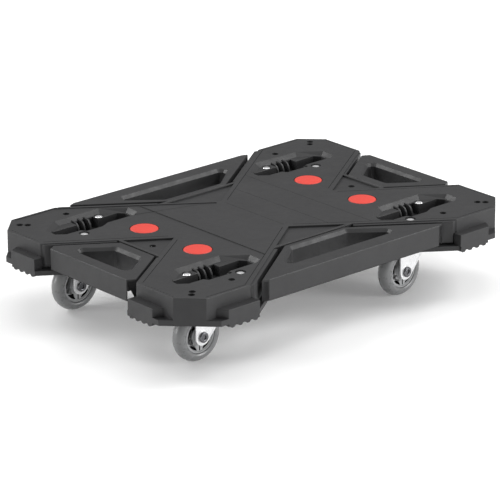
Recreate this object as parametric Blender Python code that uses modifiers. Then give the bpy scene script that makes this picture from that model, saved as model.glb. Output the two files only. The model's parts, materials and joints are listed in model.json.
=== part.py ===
"""Low platform dolly: a ribbed deck, four hand grips, four anti-slip pads and four swivel casters.

Frame: origin on the ground under the deck's middle, +X along the deck, +Y to its left, +Z up.
Run with: blender --background --python part.py
"""

import math

import bmesh
import bpy
from mathutils import Vector

MM = 0.001
GAP = 0.3 * MM  # clearance between touching pieces

# Deck
DECK_TOP = 123 * MM
DECK_HALF_LENGTH = 300 * MM
DECK_HALF_WIDTH = 208 * MM
SHORT_WALL_START = 103.5 * MM  # |y| where a short side's corner block begins
SHORT_WALL_END = 177.5 * MM  # |y| where the corner chamfer begins
LONG_WALL_START = 192.3 * MM  # |x| where a long side's corner block begins
LONG_WALL_END = 269 * MM  # |x| where the corner chamfer begins
SHORT_APEX = 147.5 * MM  # |x| where two arms meet behind a short side's grip
LONG_APEX = 70.5 * MM  # |y| where two arms meet behind a long side's grip
SHORT_PAD_EDGE = 211 * MM  # |x| of the deck's edge between two arms
LONG_PAD_EDGE = 122 * MM  # |y| of the deck's edge between two arms
PAD_RIM = 4.5 * MM  # width of the rim left between a sunk pad and the deck's edge
PLATE_THICKNESS = 6 * MM
PAD_DROP = 3 * MM
PAD_STEP = 0.5 * MM  # how far a sunk pad stays inside the arms' edges
WALL = 3 * MM
RIB = 2.5 * MM
RIB_PITCH = 50 * MM
RIB_DEPTH = 25.2 * MM  # below the deck top
SKIRT_DEPTH = 32.4 * MM

# Flange, ledges and serrated feet at the corners
FLANGE_TOP = 31.4 * MM
FLANGE_DEPTH = 39.2 * MM
FLANGE_OUT = 14 * MM
LEDGE_DEPTH = 19 * MM
SHORT_LEDGE = (100 * MM, 151 * MM, 158 * MM)  # |y|: start, outer end, end at the wall
LONG_LEDGE = (187 * MM, 242 * MM, 252 * MM)  # |x|: start, outer end, end at the wall
FLANGE_START = 6.5 * MM  # how much farther on the flange's inner edge starts than the ledge
LEDGE_FOOT = 36.5 * MM
SHELF_TOP = 35.6 * MM  # the shelf that runs on from a ledge, along the arm and under the grip
SHELF_DEPTH = 42.4 * MM
SHELF_OUT = 11.5 * MM  # how far a shelf stands out from the arm's edge
SHELF_LENGTH = 84 * MM
SHELF_FOOTING = 5 * MM  # how far a shelf and its riser reach in under the arm
SHORT_RIM_OUT = 3 * MM  # width of the lower rim along an arm's edge, beside a short side's grip
LONG_RIM_OUT = 5 * MM
ARM_RIM_TOP = 1.2 * MM
TOOTH_VALLEY = 42.7 * MM
TOOTH_TIP = 45.4 * MM
TEETH = 4

# Grips
GRIP_TOP = DECK_TOP - 1 * MM
GRIP_DEPTH = 31.5 * MM
GRIP_WALL = 3.2 * MM
GRIP_PLATE = 4 * MM
END_WINDOW_INSET = 1.2 * MM  # solid strip left at each upright edge of a grip's open end
# half outlines as (distance from the middle of the deck, half width), inner edge first
SHORT_GRIP = [(213, 36), (289, 88), (300, 81.5)]
LONG_GRIP = [(124, 55), (204, 168), (208, 158)]
SHORT_OPENING = [(232, 26), (277, 58)]
LONG_OPENING = [(135, 51.5), (180, 108)]
OPENING_RADIUS = 7 * MM
HOOK_SIZE = (10 * MM, 6 * MM)  # width and height of a snap hook

# Casters
CASTER_X = 187.3 * MM
CASTER_Y = 129.6 * MM
PLATE_TOP = 97.5 * MM
PLATE_SHEET = 3.2 * MM
PLATE_LENGTH = 94 * MM
PLATE_WIDTH = 79 * MM
# holes relative to the swivel axis: head in the recess, head beside the slot, then two screws from below
EVEN_HOLES = [(-30, 21.5), (18.5, -32.5), (36, 31), (-40, -32.5)]  # front left and rear right
ODD_HOLES = [(28.4, 21), (-40.5, -32.5), (-36, 31), (36, -32.5)]  # front right and rear left
RACE_HEIGHT = 6.4 * MM
RACE_RADIUS = 25 * MM
FORK_SHEET = 2.5 * MM
FORK_INSIDE = 12.6 * MM  # half the gap between the fork's legs
FORK_ROUND = 12 * MM  # radius of a leg's foot
TRAIL = 33.2 * MM
WHEEL_RADIUS = 37.5 * MM
TYRE_HALF_WIDTH = 10.8 * MM
HUB_RADIUS = 24.4 * MM
HUB_HALF_WIDTH = 9 * MM
HUB_POCKET_DEPTH = 6.8 * MM
AXLE_RADIUS = 4 * MM
KINGPIN_RADIUS = 5 * MM
REST_YAW = {"front_right": 4.2, "front_left": 0.0, "rear_right": -0.4, "rear_left": -1.7}
CORNERS = {"front_right": (1, -1), "front_left": (1, 1), "rear_right": (-1, -1), "rear_left": (-1, 1)}

# Fasteners
SHANK_RADIUS = 3 * MM
HEAD_RADIUS = 6 * MM
HEAD_HEIGHT = 2.6 * MM
LEDGE_HEAD_DEPTH = 5.2 * MM  # top of a rivet's head on the recess floor, below the deck top
TOP_HEAD_DEPTH = 0.6 * MM  # top of a rivet's head beside the slot, below the deck top
BOSS_RADIUS = 9.2 * MM
SCREW_DEPTH = 13 * MM  # where a plate screw's tip ends, below the deck top

# Anti-slip pads
PAD_X = 153.75 * MM
PAD_Y = 56.7 * MM
PAD_RADIUS = 19.8 * MM
PAD_PROUD = 0.8 * MM

# Recess over each caster, relative to the caster's swivel axis; the same way round at every corner
RECESS_SHIFT = (-1 * MM, 7 * MM)
RECESS_RIM = [(-72, 4), (-40, 27), (39, 27), (73.5, 2), (72, -20), (60, -27), (-60, -27), (-74, -17)]
RECESS_FLOOR = [(-66, 1), (-37, 20), (36, 20), (67, 0), (66, -20), (60, -27), (-60, -27), (-67, -19)]
RECESS_DEPTH = 5.8 * MM
SLOT_OUTLINE = [(-62, 6.5), (-16, 6.5), (-16, 19), (22, 19), (22, 6.5), (57, 6.5), (64.5, -2)]
SLOT_OUTLINE += [(64.5, -17), (55, -26), (-55, -26), (-64, -17)]
SLOT_DEPTH = 21 * MM
POCKET_WALL = 2.5 * MM
FIN_POSITIONS = (-12.8, -2.3, 8.2)
FIN_THICKNESS = 2.6 * MM
# a fin's edge as (across, below the deck's top), from the recess floor down to the slot's floor
FIN_EDGE = [(24.5, 3.8), (14, 4.2), (11, 5.6), (8.4, 8.6), (6.6, 12), (5.5, 15), (4.4, 19), (4, 22)]
NOTCH_RIM = [(-37, -25), (-25.5, -44.5), (13, -27), (13, -25)]
NOTCH_DEPTH = 3.5 * MM

# Small holes in the deck's top
CORNER_HOLES = [(265.5, 175.5), (273.5, 183.5)]
SINGLE_HOLE = (197, 176)
PAD_HOLE = (186, 0)
SMALL_HOLE_RADIUS = 4.9 * MM


def clear_scene():
    for obj in list(bpy.data.objects):
        bpy.data.objects.remove(obj, do_unlink=True)


def make_material(name, colour, roughness, metallic):
    material = bpy.data.materials.new(name)
    material.use_nodes = True
    shader = material.node_tree.nodes["Principled BSDF"]
    shader.inputs["Base Color"].default_value = (*colour, 1.0)
    shader.inputs["Roughness"].default_value = roughness
    shader.inputs["Metallic"].default_value = metallic
    return material


def make_collection(name):
    collection = bpy.data.collections.new(name)
    bpy.context.scene.collection.children.link(collection)
    return collection


def weld(mesh):
    """Merge doubled points and turn every face outward."""
    shape = bmesh.new()
    shape.from_mesh(mesh)
    bmesh.ops.remove_doubles(shape, verts=shape.verts, dist=0.00001)
    bmesh.ops.dissolve_limit(shape, angle_limit=0.0005, verts=shape.verts, edges=shape.edges)
    bmesh.ops.recalc_face_normals(shape, faces=shape.faces)
    shape.to_mesh(mesh)
    shape.free()


def add_object(name, mesh, collection, material=None):
    obj = bpy.data.objects.new(name, mesh)
    collection.objects.link(obj)
    if material:
        mesh.materials.append(material)
    if collection is CUTTERS:
        obj.hide_render = True
        obj.display_type = "WIRE"
    return obj


def rounded(points, radius, steps=3):
    """Replace each corner of a closed outline by an arc of the given radius."""
    result = []
    for i, point in enumerate(points):
        here = Vector(point)
        before = (Vector(points[i - 1]) - here).normalized()
        after = (Vector(points[(i + 1) % len(points)]) - here).normalized()
        half = before.angle(after) / 2
        start = here + before * radius / math.tan(half)
        end = here + after * radius / math.tan(half)
        centre = here + (before + after).normalized() * radius / math.sin(half)
        for k in range(steps + 1):
            arm = (start - centre).lerp(end - centre, k / steps)
            result.append(tuple(centre + arm.normalized() * radius))
    return result


def offset_outline(points, distance):
    """An anticlockwise outline with every side moved outward by the same distance, or inward if negative."""
    result = []
    for i, point in enumerate(points):
        here = Vector(point)
        along = (here - Vector(points[i - 1])).normalized()
        onward = (Vector(points[(i + 1) % len(points)]) - here).normalized()
        normal = Vector((along.y, -along.x)) + Vector((onward.y, -onward.x))
        result.append(tuple(here + normal * 2 * distance / normal.length_squared))
    return result


def circle(x, y, radius, segments):
    turn = 2 * math.pi / segments
    return [(x + radius * math.cos(k * turn), y + radius * math.sin(k * turn)) for k in range(segments)]


def outline_mesh(name, outlines, low, high):
    """A solid with the given flat outlines, between two heights."""
    curve = bpy.data.curves.new(name, "CURVE")
    curve.dimensions = "2D"
    curve.fill_mode = "BOTH"
    curve.extrude = (high - low) / 2
    for outline in outlines:
        spline = curve.splines.new("POLY")
        spline.points.add(len(outline) - 1)
        for point, (x, y) in zip(spline.points, outline):
            point.co = (x, y, 0, 1)
        spline.use_cyclic_u = True
    guide = bpy.data.objects.new(name + "_outline", curve)
    bpy.context.scene.collection.objects.link(guide)
    bpy.context.view_layer.update()
    mesh = bpy.data.meshes.new_from_object(guide.evaluated_get(bpy.context.evaluated_depsgraph_get()))
    bpy.data.objects.remove(guide, do_unlink=True)
    for vertex in mesh.vertices:
        vertex.co.z += (high + low) / 2
    weld(mesh)
    return mesh


def tapered_mesh(name, top_outline, floor_outline, low, high):
    """A solid whose outline changes evenly from one at the top to another at the floor."""
    mesh = outline_mesh(name, [top_outline], low, high)
    for vertex in mesh.vertices:
        if vertex.co.z < (low + high) / 2:
            distances = [math.dist(vertex.co[:2], point) for point in top_outline]
            vertex.co[:2] = floor_outline[distances.index(min(distances))]
    shape = bmesh.new()
    shape.from_mesh(mesh)
    bmesh.ops.triangulate(shape, faces=shape.faces)
    shape.to_mesh(mesh)
    shape.free()
    return mesh


def turned_object(name, profile, collection, material, steps, closed=False):
    """A turned solid: the profile lists (radius, height), down the outer side, round the Z axis."""
    mesh = bpy.data.meshes.new(name)
    edges = [(k, k + 1) for k in range(len(profile) - 1)]
    if closed:
        edges.append((len(profile) - 1, 0))
    mesh.from_pydata([(radius, 0, height) for radius, height in profile], edges, [])
    obj = add_object(name, mesh, collection, material)
    screw = obj.modifiers.new("Turn", "SCREW")
    screw.axis = "Z"
    screw.steps = steps
    screw.render_steps = steps
    screw.use_merge_vertices = True
    screw.merge_threshold = 0.00001
    screw.use_smooth_shade = True
    return obj


def boolean(obj, operation, other):
    modifier = obj.modifiers.new(operation.title(), "BOOLEAN")
    modifier.operation = operation
    modifier.solver = "EXACT"
    modifier.object = other


def box_mesh(name, low, high):
    shape = bmesh.new()
    bmesh.ops.create_cube(shape, size=1)
    for vertex in shape.verts:
        for axis in range(3):
            vertex.co[axis] = low[axis] if vertex.co[axis] < 0 else high[axis]
    mesh = bpy.data.meshes.new(name)
    shape.to_mesh(mesh)
    shape.free()
    return mesh


def joined(name, meshes, collection):
    """One object that holds several separate closed shapes."""
    shape = bmesh.new()
    for mesh in meshes:
        shape.from_mesh(mesh)
    merged = bpy.data.meshes.new(name)
    shape.to_mesh(merged)
    shape.free()
    return add_object(name, merged, collection)


def scaled(points, sign_x=1, sign_y=1, unit=MM):
    """Millimetre points in metres, mirrored if asked, always anticlockwise."""
    result = [(x * sign_x * unit, y * sign_y * unit) for x, y in points]
    area = sum(a[0] * b[1] - b[0] * a[1] for a, b in zip(result, result[1:] + result[:1]))
    return result if area > 0 else result[::-1]


def quarter_turned(points):
    return [(y, x) for x, y in points]


# ---------------------------------------------------------------- deck


def arm_edge_y(x):
    """|y| of an arm's edge beside a short side's grip, at a distance |x| from the middle."""
    return (x - SHORT_APEX) * SHORT_WALL_START / (DECK_HALF_LENGTH - SHORT_APEX)


def arm_edge_x(y):
    """|x| of an arm's edge beside a long side's grip, at a distance |y| from the middle."""
    return (y - LONG_APEX) * LONG_WALL_START / (DECK_HALF_WIDTH - LONG_APEX)


def mirrored_ring(quarter):
    """A closed outline from its part in the +X +Y quarter, listed anticlockwise."""
    ring = list(quarter)
    ring += [(-x, y) for x, y in reversed(quarter)]
    ring += [(-x, -y) for x, y in quarter]
    ring += [(x, -y) for x, y in reversed(quarter)]
    return ring


def deck_outline():
    """The deck's outline seen from above."""
    quarter = [
        (SHORT_PAD_EDGE, arm_edge_y(SHORT_PAD_EDGE)),
        (DECK_HALF_LENGTH, SHORT_WALL_START),
        (DECK_HALF_LENGTH, SHORT_WALL_END),
        (LONG_WALL_END, DECK_HALF_WIDTH),
        (LONG_WALL_START, DECK_HALF_WIDTH),
        (arm_edge_x(LONG_PAD_EDGE), LONG_PAD_EDGE),
    ]
    return mirrored_ring(quarter)


def flange_outline(sign_x, sign_y):
    """The flange's outline at one corner, seen from above, with its inner edge inside the wall."""
    out_x = DECK_HALF_LENGTH + FLANGE_OUT
    out_y = DECK_HALF_WIDTH + FLANGE_OUT
    chamfer_sum = (DECK_HALF_LENGTH + SHORT_WALL_END + LONG_WALL_END + DECK_HALF_WIDTH) / 2
    in_x = DECK_HALF_LENGTH - WALL
    in_y = DECK_HALF_WIDTH - WALL
    start_y = SHORT_LEDGE[0] + GAP
    start_x = LONG_LEDGE[0] + GAP
    corner = WALL * math.tan(math.radians(22.5))
    points = [
        (in_x, start_y + FLANGE_START),
        (DECK_HALF_LENGTH, start_y + FLANGE_START),
        (out_x, start_y),
        (out_x, chamfer_sum - out_x),
        (chamfer_sum - out_y, out_y),
        (start_x, out_y),
        (start_x + FLANGE_START, DECK_HALF_WIDTH),
        (start_x + FLANGE_START, in_y),
        (LONG_WALL_END - corner, in_y),
        (in_x, SHORT_WALL_END - corner),
    ]
    return scaled(points, sign_x, sign_y, 1)


def ledge_outlines(sign_x, sign_y):
    """The two coupling ledges of one corner, seen from above."""
    out_x = DECK_HALF_LENGTH + FLANGE_OUT
    out_y = DECK_HALF_WIDTH + FLANGE_OUT
    in_x = DECK_HALF_LENGTH - WALL / 2
    in_y = DECK_HALF_WIDTH - WALL / 2
    short_side = [
        (in_x, max(SHORT_LEDGE[0], SHORT_WALL_START + MM)),
        (DECK_HALF_LENGTH, SHORT_LEDGE[0]),
        (out_x, SHORT_LEDGE[0]),
        (out_x, SHORT_LEDGE[1]),
        (DECK_HALF_LENGTH, SHORT_LEDGE[2]),
        (in_x, SHORT_LEDGE[2]),
    ]
    long_side = [
        (LONG_LEDGE[2], in_y),
        (LONG_LEDGE[2], DECK_HALF_WIDTH),
        (LONG_LEDGE[1], out_y),
        (LONG_LEDGE[0], out_y),
        (LONG_LEDGE[0], DECK_HALF_WIDTH),
        (LONG_WALL_START + MM, in_y),
    ]
    return [scaled(side, sign_x, sign_y, 1) for side in (short_side, long_side)]


def standing_mesh(name, profile, along_x, sign_x, sign_y, inset):
    """A solid under a ledge's outer face, from its profile as (distance along the side, height)."""
    mesh = outline_mesh(name, [profile], 0, FLANGE_OUT - 2 * MM)
    for vertex in mesh.vertices:
        along, height, depth = vertex.co
        if along_x:
            vertex.co = (sign_x * along, sign_y * (DECK_HALF_WIDTH + FLANGE_OUT - depth - inset), height)
        else:
            vertex.co = (sign_x * (DECK_HALF_LENGTH + FLANGE_OUT - depth - inset), sign_y * along, height)
    weld(mesh)
    return mesh


def foot_meshes():
    """The strip and the teeth under each ledge, as two lists of solids."""
    strips = []
    teeth = []
    root = DECK_TOP - FLANGE_DEPTH + MM
    valley = DECK_TOP - TOOTH_VALLEY
    for sign_x, sign_y in CORNERS.values():
        for along_x, (start, end, _) in ((True, LONG_LEDGE), (False, SHORT_LEDGE)):
            strip = [(start, valley), (end, valley), (end - MM, root), (start + MM, root)]
            strips.append(standing_mesh("strip", strip, along_x, sign_x, sign_y, GAP))
            pitch = (end - start - MM) / TEETH
            for k in range(TEETH):
                left = start + (k + 0.1) * pitch
                tooth = [(left, valley + MM), (left + 0.25 * pitch, DECK_TOP - TOOTH_TIP)]
                tooth += [(left + 0.55 * pitch, DECK_TOP - TOOTH_TIP), (left + 0.8 * pitch, valley + MM)]
                teeth.append(standing_mesh("tooth", tooth, along_x, sign_x, sign_y, 2 * GAP))
    return strips, teeth


def arm_side_meshes():
    """What runs along each arm's edge beside a grip: a lower rim, a shelf under the grip and its riser."""
    rims = []
    shelves = []
    risers = []
    sides = [(SHORT_APEX, 0, DECK_HALF_LENGTH, SHORT_WALL_START, 9 * MM, SHORT_RIM_OUT, False)]
    sides.append((LONG_APEX, 0, DECK_HALF_WIDTH, LONG_WALL_START, 4 * MM, LONG_RIM_OUT, True))
    for apex_out, apex_along, end_out, end_along, lead, rim_out, long_side in sides:
        end = Vector((end_out, end_along))
        inward = (Vector((apex_out, apex_along)) - end).normalized()
        aside = Vector((-inward.y, inward.x))
        tip = end + aside * SHELF_OUT - inward * lead
        foot = end + aside * SHELF_OUT + inward * SHELF_LENGTH
        beside = tip + Vector((0, 8 * MM))
        shelf = [tip, beside, beside - Vector((20 * MM, 0)), foot - aside * (SHELF_OUT + SHELF_FOOTING), foot]
        face = end - aside * GAP
        riser = [face + inward * MM, face + inward * (SHELF_LENGTH - GAP)]
        riser += [point - aside * SHELF_FOOTING for point in reversed(riser)]
        pad_edge = LONG_PAD_EDGE if long_side else SHORT_PAD_EDGE
        run = (end_out - pad_edge) / -inward.x
        rim = [end + inward * 6 * MM + aside * rim_out, end + inward * (run - 2 * MM) + aside * rim_out]
        rim += [end + inward * (run - 2 * MM) - aside * MM, end + inward * MM - aside * MM]
        for sign_x, sign_y in CORNERS.values():
            for outline, solids, low, high in (
                    (rim, rims, SKIRT_DEPTH - GAP, ARM_RIM_TOP),
                    (shelf, shelves, SHELF_DEPTH, SHELF_TOP),
                    (riser, risers, SHELF_DEPTH - 2 * GAP, SKIRT_DEPTH - 1.4 * MM)):
                points = [(point.y, point.x) if long_side else (point.x, point.y) for point in outline]
                placed = scaled(points, sign_x, sign_y, 1)
                solids.append(outline_mesh("arm_side", [placed], DECK_TOP - low, DECK_TOP - high))
    return rims, shelves, risers


def recess_points(points, corner):
    sign_x, sign_y = CORNERS[corner]
    centre_x = sign_x * CASTER_X + RECESS_SHIFT[0]
    centre_y = sign_y * CASTER_Y + RECESS_SHIFT[1]
    return [(centre_x + x * MM, centre_y + y * MM) for x, y in points]


def hole_places():
    """Every caster fastener: name, kind, x and y."""
    places = []
    for corner, (sign_x, sign_y) in CORNERS.items():
        offsets = EVEN_HOLES if sign_x == sign_y else ODD_HOLES
        kinds = ("ledge_rivet", "top_rivet", "plate_screw_left", "plate_screw_right")
        for kind, (x, y) in zip(kinds, offsets):
            name = f"{kind}_{corner}"
            places.append((name, kind, sign_x * CASTER_X + x * MM, sign_y * CASTER_Y + y * MM))
    return places


def cavity_cells():
    """The spaces between the ribs, from below up to the deck's plate."""
    cells = []
    columns = int(DECK_HALF_LENGTH / RIB_PITCH)
    rows = math.ceil(DECK_HALF_WIDTH / RIB_PITCH)
    half = RIB / 2
    for column in range(-columns, columns):
        for row in range(-rows, rows):
            low = (column * RIB_PITCH + half, row * RIB_PITCH + half, DECK_TOP - RIB_DEPTH - 4 * MM)
            high = ((column + 1) * RIB_PITCH - half, (row + 1) * RIB_PITCH - half, DECK_TOP - PLATE_THICKNESS)
            cells.append(box_mesh(f"cell_{column}_{row}", low, high))
    return cells


def deck_cavity():
    """All that is hollow under the deck, less the pockets and bosses that stand in it."""
    inside = offset_outline(deck_outline(), -WALL)
    cavity = add_object("cavity", box_mesh("cavity", (-1, -1, 0), (1, 1, DECK_TOP - RIB_DEPTH)), CUTTERS)
    boolean(cavity, "UNION", joined("cells", cavity_cells(), CUTTERS))
    inner = outline_mesh("inner", [inside], -10 * MM, DECK_TOP + 10 * MM)
    boolean(cavity, "INTERSECT", add_object("inner", inner, CUTTERS))
    groups = {name: [] for name in ("keep_slots", "keep_floors", "keep_discs", "keep_bosses")}
    for corner, (sign_x, sign_y) in CORNERS.items():
        slot = offset_outline(scaled(recess_points(SLOT_OUTLINE, corner), unit=1), POCKET_WALL)
        slot_foot = DECK_TOP - SLOT_DEPTH - POCKET_WALL
        groups["keep_slots"].append(outline_mesh("keep_slot", [slot], slot_foot, DECK_TOP))
        floor = offset_outline(scaled(recess_points(RECESS_RIM, corner), unit=1), POCKET_WALL)
        floor_foot = DECK_TOP - RECESS_DEPTH - POCKET_WALL
        groups["keep_floors"].append(outline_mesh("keep_floor", [floor], floor_foot, DECK_TOP))
        disc = circle(sign_x * PAD_X, sign_y * PAD_Y, PAD_RADIUS + POCKET_WALL, 12)
        groups["keep_discs"].append(outline_mesh("keep_disc", [disc], DECK_TOP - 8 * MM, DECK_TOP))
    for _, _, x, y in hole_places():
        boss = circle(x, y, BOSS_RADIUS, 8)
        boss_foot = DECK_TOP - RIB_DEPTH - 0.1 * MM
        groups["keep_bosses"].append(outline_mesh("keep_boss", [boss], boss_foot, DECK_TOP))
    for name, meshes in groups.items():
        boolean(cavity, "DIFFERENCE", joined(name, meshes, CUTTERS))
    return cavity


def deck_openings():
    """What is cut from the deck's top, in groups whose solids don't touch each other."""
    groups = {name: [] for name in ("pads", "recesses", "slots", "notches", "discs", "holes", "heads")}
    pad_x = SHORT_PAD_EDGE - PAD_RIM + PAD_STEP
    pad_y = LONG_PAD_EDGE - PAD_RIM + PAD_STEP
    short_pad = [(SHORT_APEX, 0), (pad_x, arm_edge_y(pad_x)), (pad_x, -arm_edge_y(pad_x))]
    long_pad = [(0, LONG_APEX), (arm_edge_x(pad_y), pad_y), (-arm_edge_x(pad_y), pad_y)]
    pad_floor = DECK_TOP - PAD_DROP
    above = DECK_TOP + MM
    for sign in (1, -1):
        for pad in (scaled(short_pad, sign, 1, 1), scaled(long_pad, 1, sign, 1)):
            groups["pads"].append(outline_mesh("pad", [offset_outline(pad, -PAD_STEP)], pad_floor, above))
        hole = circle(sign * PAD_HOLE[0] * MM, 0, SMALL_HOLE_RADIUS, 12)
        groups["holes"].append(outline_mesh("hole", [hole], 0, above))
    for corner, (sign_x, sign_y) in CORNERS.items():
        rim = recess_points(RECESS_RIM, corner)
        floor = recess_points(RECESS_FLOOR, corner)
        recess = tapered_mesh("recess", rim, floor, DECK_TOP - RECESS_DEPTH, DECK_TOP + 0.05 * MM)
        groups["recesses"].append(recess)
        slot = recess_points(SLOT_OUTLINE, corner)
        slot_foot = DECK_TOP - SLOT_DEPTH
        groups["slots"].append(outline_mesh("slot", [slot], slot_foot, DECK_TOP - RECESS_DEPTH / 2))
        notch = recess_points(NOTCH_RIM, corner)
        groups["notches"].append(outline_mesh("notch", [notch], DECK_TOP - NOTCH_DEPTH, above))
        disc = circle(sign_x * PAD_X, sign_y * PAD_Y, PAD_RADIUS + 2 * GAP, 24)
        groups["discs"].append(outline_mesh("disc_pocket", [disc], DECK_TOP - 3 * MM, above))
        for x, y in CORNER_HOLES + [SINGLE_HOLE]:
            ring = circle(sign_x * x * MM, sign_y * y * MM, SMALL_HOLE_RADIUS, 12)
            groups["holes"].append(outline_mesh("hole", [ring], DECK_TOP - 15 * MM, above))
    for _, kind, x, y in hole_places():
        shank = circle(x, y, SHANK_RADIUS + 2 * GAP, 8)
        if kind.startswith("plate_screw"):
            groups["holes"].append(outline_mesh("shank_hole", [shank], 0, DECK_TOP - SCREW_DEPTH + GAP))
            continue
        on_ledge = kind == "ledge_rivet"
        head_top = DECK_TOP - (LEDGE_HEAD_DEPTH if on_ledge else TOP_HEAD_DEPTH)
        room = HEAD_RADIUS + (0.7 * MM if on_ledge else 1.6 * MM)
        groups["holes"].append(outline_mesh("shank_hole", [shank], 0, head_top - MM))
        groups["heads"].append(outline_mesh(
            "head_room", [circle(x, y, room, 12)], head_top - HEAD_HEIGHT - GAP, head_top + 1.7 * MM))
    return groups


def fin_mesh(name, corner, position):
    """A curved blade that stands across the slot."""
    across = [(y * MM, DECK_TOP - depth * MM) for y, depth in FIN_EDGE]
    across.append((across[0][0], across[-1][1]))
    mesh = outline_mesh(name, [across], -FIN_THICKNESS / 2, FIN_THICKNESS / 2)
    origin = recess_points([(position, 0)], corner)[0]
    for vertex in mesh.vertices:
        y, z, x = vertex.co
        vertex.co = (origin[0] + x, origin[1] + y, z)
    weld(mesh)
    return mesh


def make_deck():
    """The deck as one moulding: plate, skirt, ribs, flanges, ledges, feet, recesses and fins."""
    deck = add_object("deck_frame", outline_mesh(
        "deck_frame", [deck_outline()], DECK_TOP - SKIRT_DEPTH, DECK_TOP), PARTS, DECK_PLASTIC)
    flanges = []
    ledges = []
    for sign_x, sign_y in CORNERS.values():
        outline = flange_outline(sign_x, sign_y)
        flanges.append(outline_mesh("flange", [outline], DECK_TOP - FLANGE_DEPTH, DECK_TOP - FLANGE_TOP))
        for ledge in ledge_outlines(sign_x, sign_y):
            ledges.append(outline_mesh("ledge", [ledge], DECK_TOP - LEDGE_FOOT, DECK_TOP - LEDGE_DEPTH))
    strips, teeth = foot_meshes()
    rims, shelves, risers = arm_side_meshes()
    groups = {"rims": rims, "flanges": flanges, "ledges": ledges, "strips": strips, "teeth": teeth}
    groups |= {"shelves": shelves, "risers": risers}
    for name, meshes in groups.items():
        boolean(deck, "UNION", joined(name, meshes, CUTTERS))
    boolean(deck, "DIFFERENCE", deck_cavity())
    for name, meshes in deck_openings().items():
        boolean(deck, "DIFFERENCE", joined(name, meshes, CUTTERS))
    fins = [fin_mesh("fin", corner, position) for corner in CORNERS for position in FIN_POSITIONS]
    boolean(deck, "UNION", joined("fins", fins, CUTTERS))
    boolean(deck, "DIFFERENCE", joined("hook_windows", hook_meshes(GAP), CUTTERS))


# ---------------------------------------------------------------- grips


def grip_sides():
    """Each grip: name, half outline, half opening, whether it lies on a short side, and its sign."""
    return [
        ("grip_front", SHORT_GRIP, SHORT_OPENING, True, 1),
        ("grip_rear", SHORT_GRIP, SHORT_OPENING, True, -1),
        ("grip_left", LONG_GRIP, LONG_OPENING, False, 1),
        ("grip_right", LONG_GRIP, LONG_OPENING, False, -1),
    ]


def grip_outline(half, short_side, sign):
    """A grip's closed outline, or its opening's, from the half that lies on one side."""
    ring = list(half) + [(distance, -width) for distance, width in reversed(half)]
    if short_side:
        return scaled(ring, sign, 1)
    return scaled(quarter_turned(ring), 1, sign)


def hook_mesh(half, short_side, sign, side, clearance):
    """A snap hook that reaches from a grip's side through the deck's skirt."""
    share = 0.3 if short_side else 0.2
    (start_out, start_across), (end_out, end_across) = half[0], half[1]
    start = Vector((start_out, start_across)) * MM
    end = Vector((end_out, end_across)) * MM
    along = (end - start).normalized()
    outward = Vector((-along.y, along.x))
    foot = start.lerp(end, share) - outward * (GRIP_WALL * 0.6 + clearance)
    reach = outward * (GRIP_WALL * 0.6 + 13 * MM + 2 * clearance)
    half_width = along * (HOOK_SIZE[0] / 2 + clearance)
    ring = [foot - half_width, foot + half_width, foot + half_width + reach, foot - half_width + reach]
    ring = [(point.x, point.y * side) for point in ring]
    outline = scaled(ring, sign, 1, 1) if short_side else scaled(quarter_turned(ring), 1, sign, 1)
    middle = DECK_TOP - 22 * MM
    half_height = HOOK_SIZE[1] / 2 + clearance
    return outline_mesh("hook", [outline], middle - half_height, middle + half_height)


def hook_meshes(clearance):
    meshes = []
    for _, half, _, short_side, sign in grip_sides():
        for side in (1, -1):
            meshes.append(hook_mesh(half, short_side, sign, side, clearance))
    return meshes


def end_windows(half, short_side, sign):
    """What is cut from a grip's two ends, so that they are open under the top plate."""
    windows = []
    start = Vector(half[1]) * MM
    end = Vector(half[2]) * MM
    along = (end - start).normalized()
    inward = Vector((along.y, -along.x))
    for side in (1, -1):
        ring = [start + along * END_WINDOW_INSET + inward * 6 * MM, end - along * END_WINDOW_INSET + inward * 6 * MM]
        ring += [point - inward * 8 * MM for point in reversed(ring)]
        ring = [(point.x, point.y * side) for point in ring]
        outline = scaled(ring, sign, 1, 1) if short_side else scaled(quarter_turned(ring), 1, sign, 1)
        windows.append(outline_mesh("window", [outline], 0, GRIP_TOP - GRIP_PLATE + GAP))
    return windows


def make_grip(name, half, opening, short_side, sign):
    """A hollow bracket round a hand opening, open below, with two snap hooks."""
    outline = grip_outline(half, short_side, sign)
    hole = grip_outline([opening[0], opening[1]], short_side, sign)
    hole = rounded(hole, OPENING_RADIUS)
    low = DECK_TOP - GRIP_DEPTH
    grip = add_object(name, outline_mesh(name, [outline, hole], low, GRIP_TOP), PARTS, GRIP_PLASTIC)
    inside = offset_outline(outline, -GRIP_WALL)
    around_hole = offset_outline(scaled(hole, unit=1), GRIP_WALL)
    hollow = outline_mesh("hollow", [inside, around_hole], low - MM, GRIP_TOP - GRIP_PLATE)
    boolean(grip, "DIFFERENCE", add_object("hollow_" + name, hollow, CUTTERS))
    windows = joined("ends_" + name, end_windows(half, short_side, sign), CUTTERS)
    boolean(grip, "DIFFERENCE", windows)
    for side in (1, -1):
        hook = hook_mesh(half, short_side, sign, side, 0)
        boolean(grip, "UNION", add_object(f"hook_{side}_{name}", hook, CUTTERS))


# ---------------------------------------------------------------- casters and fasteners


def make_pad(corner):
    """A round anti-slip pad, slightly crowned, in its pocket in the deck."""
    sign_x, sign_y = CORNERS[corner]
    profile = [(0, PAD_PROUD), (12 * MM, 0.65 * MM), (18.4 * MM, 0.3 * MM), (PAD_RADIUS, -0.5 * MM)]
    profile += [(PAD_RADIUS, -2.7 * MM), (0, -2.7 * MM)]
    pad = turned_object("anti_slip_pad_" + corner, profile, PARTS, PAD_RUBBER, 24)
    pad.location = (sign_x * PAD_X, sign_y * PAD_Y, DECK_TOP)


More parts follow.
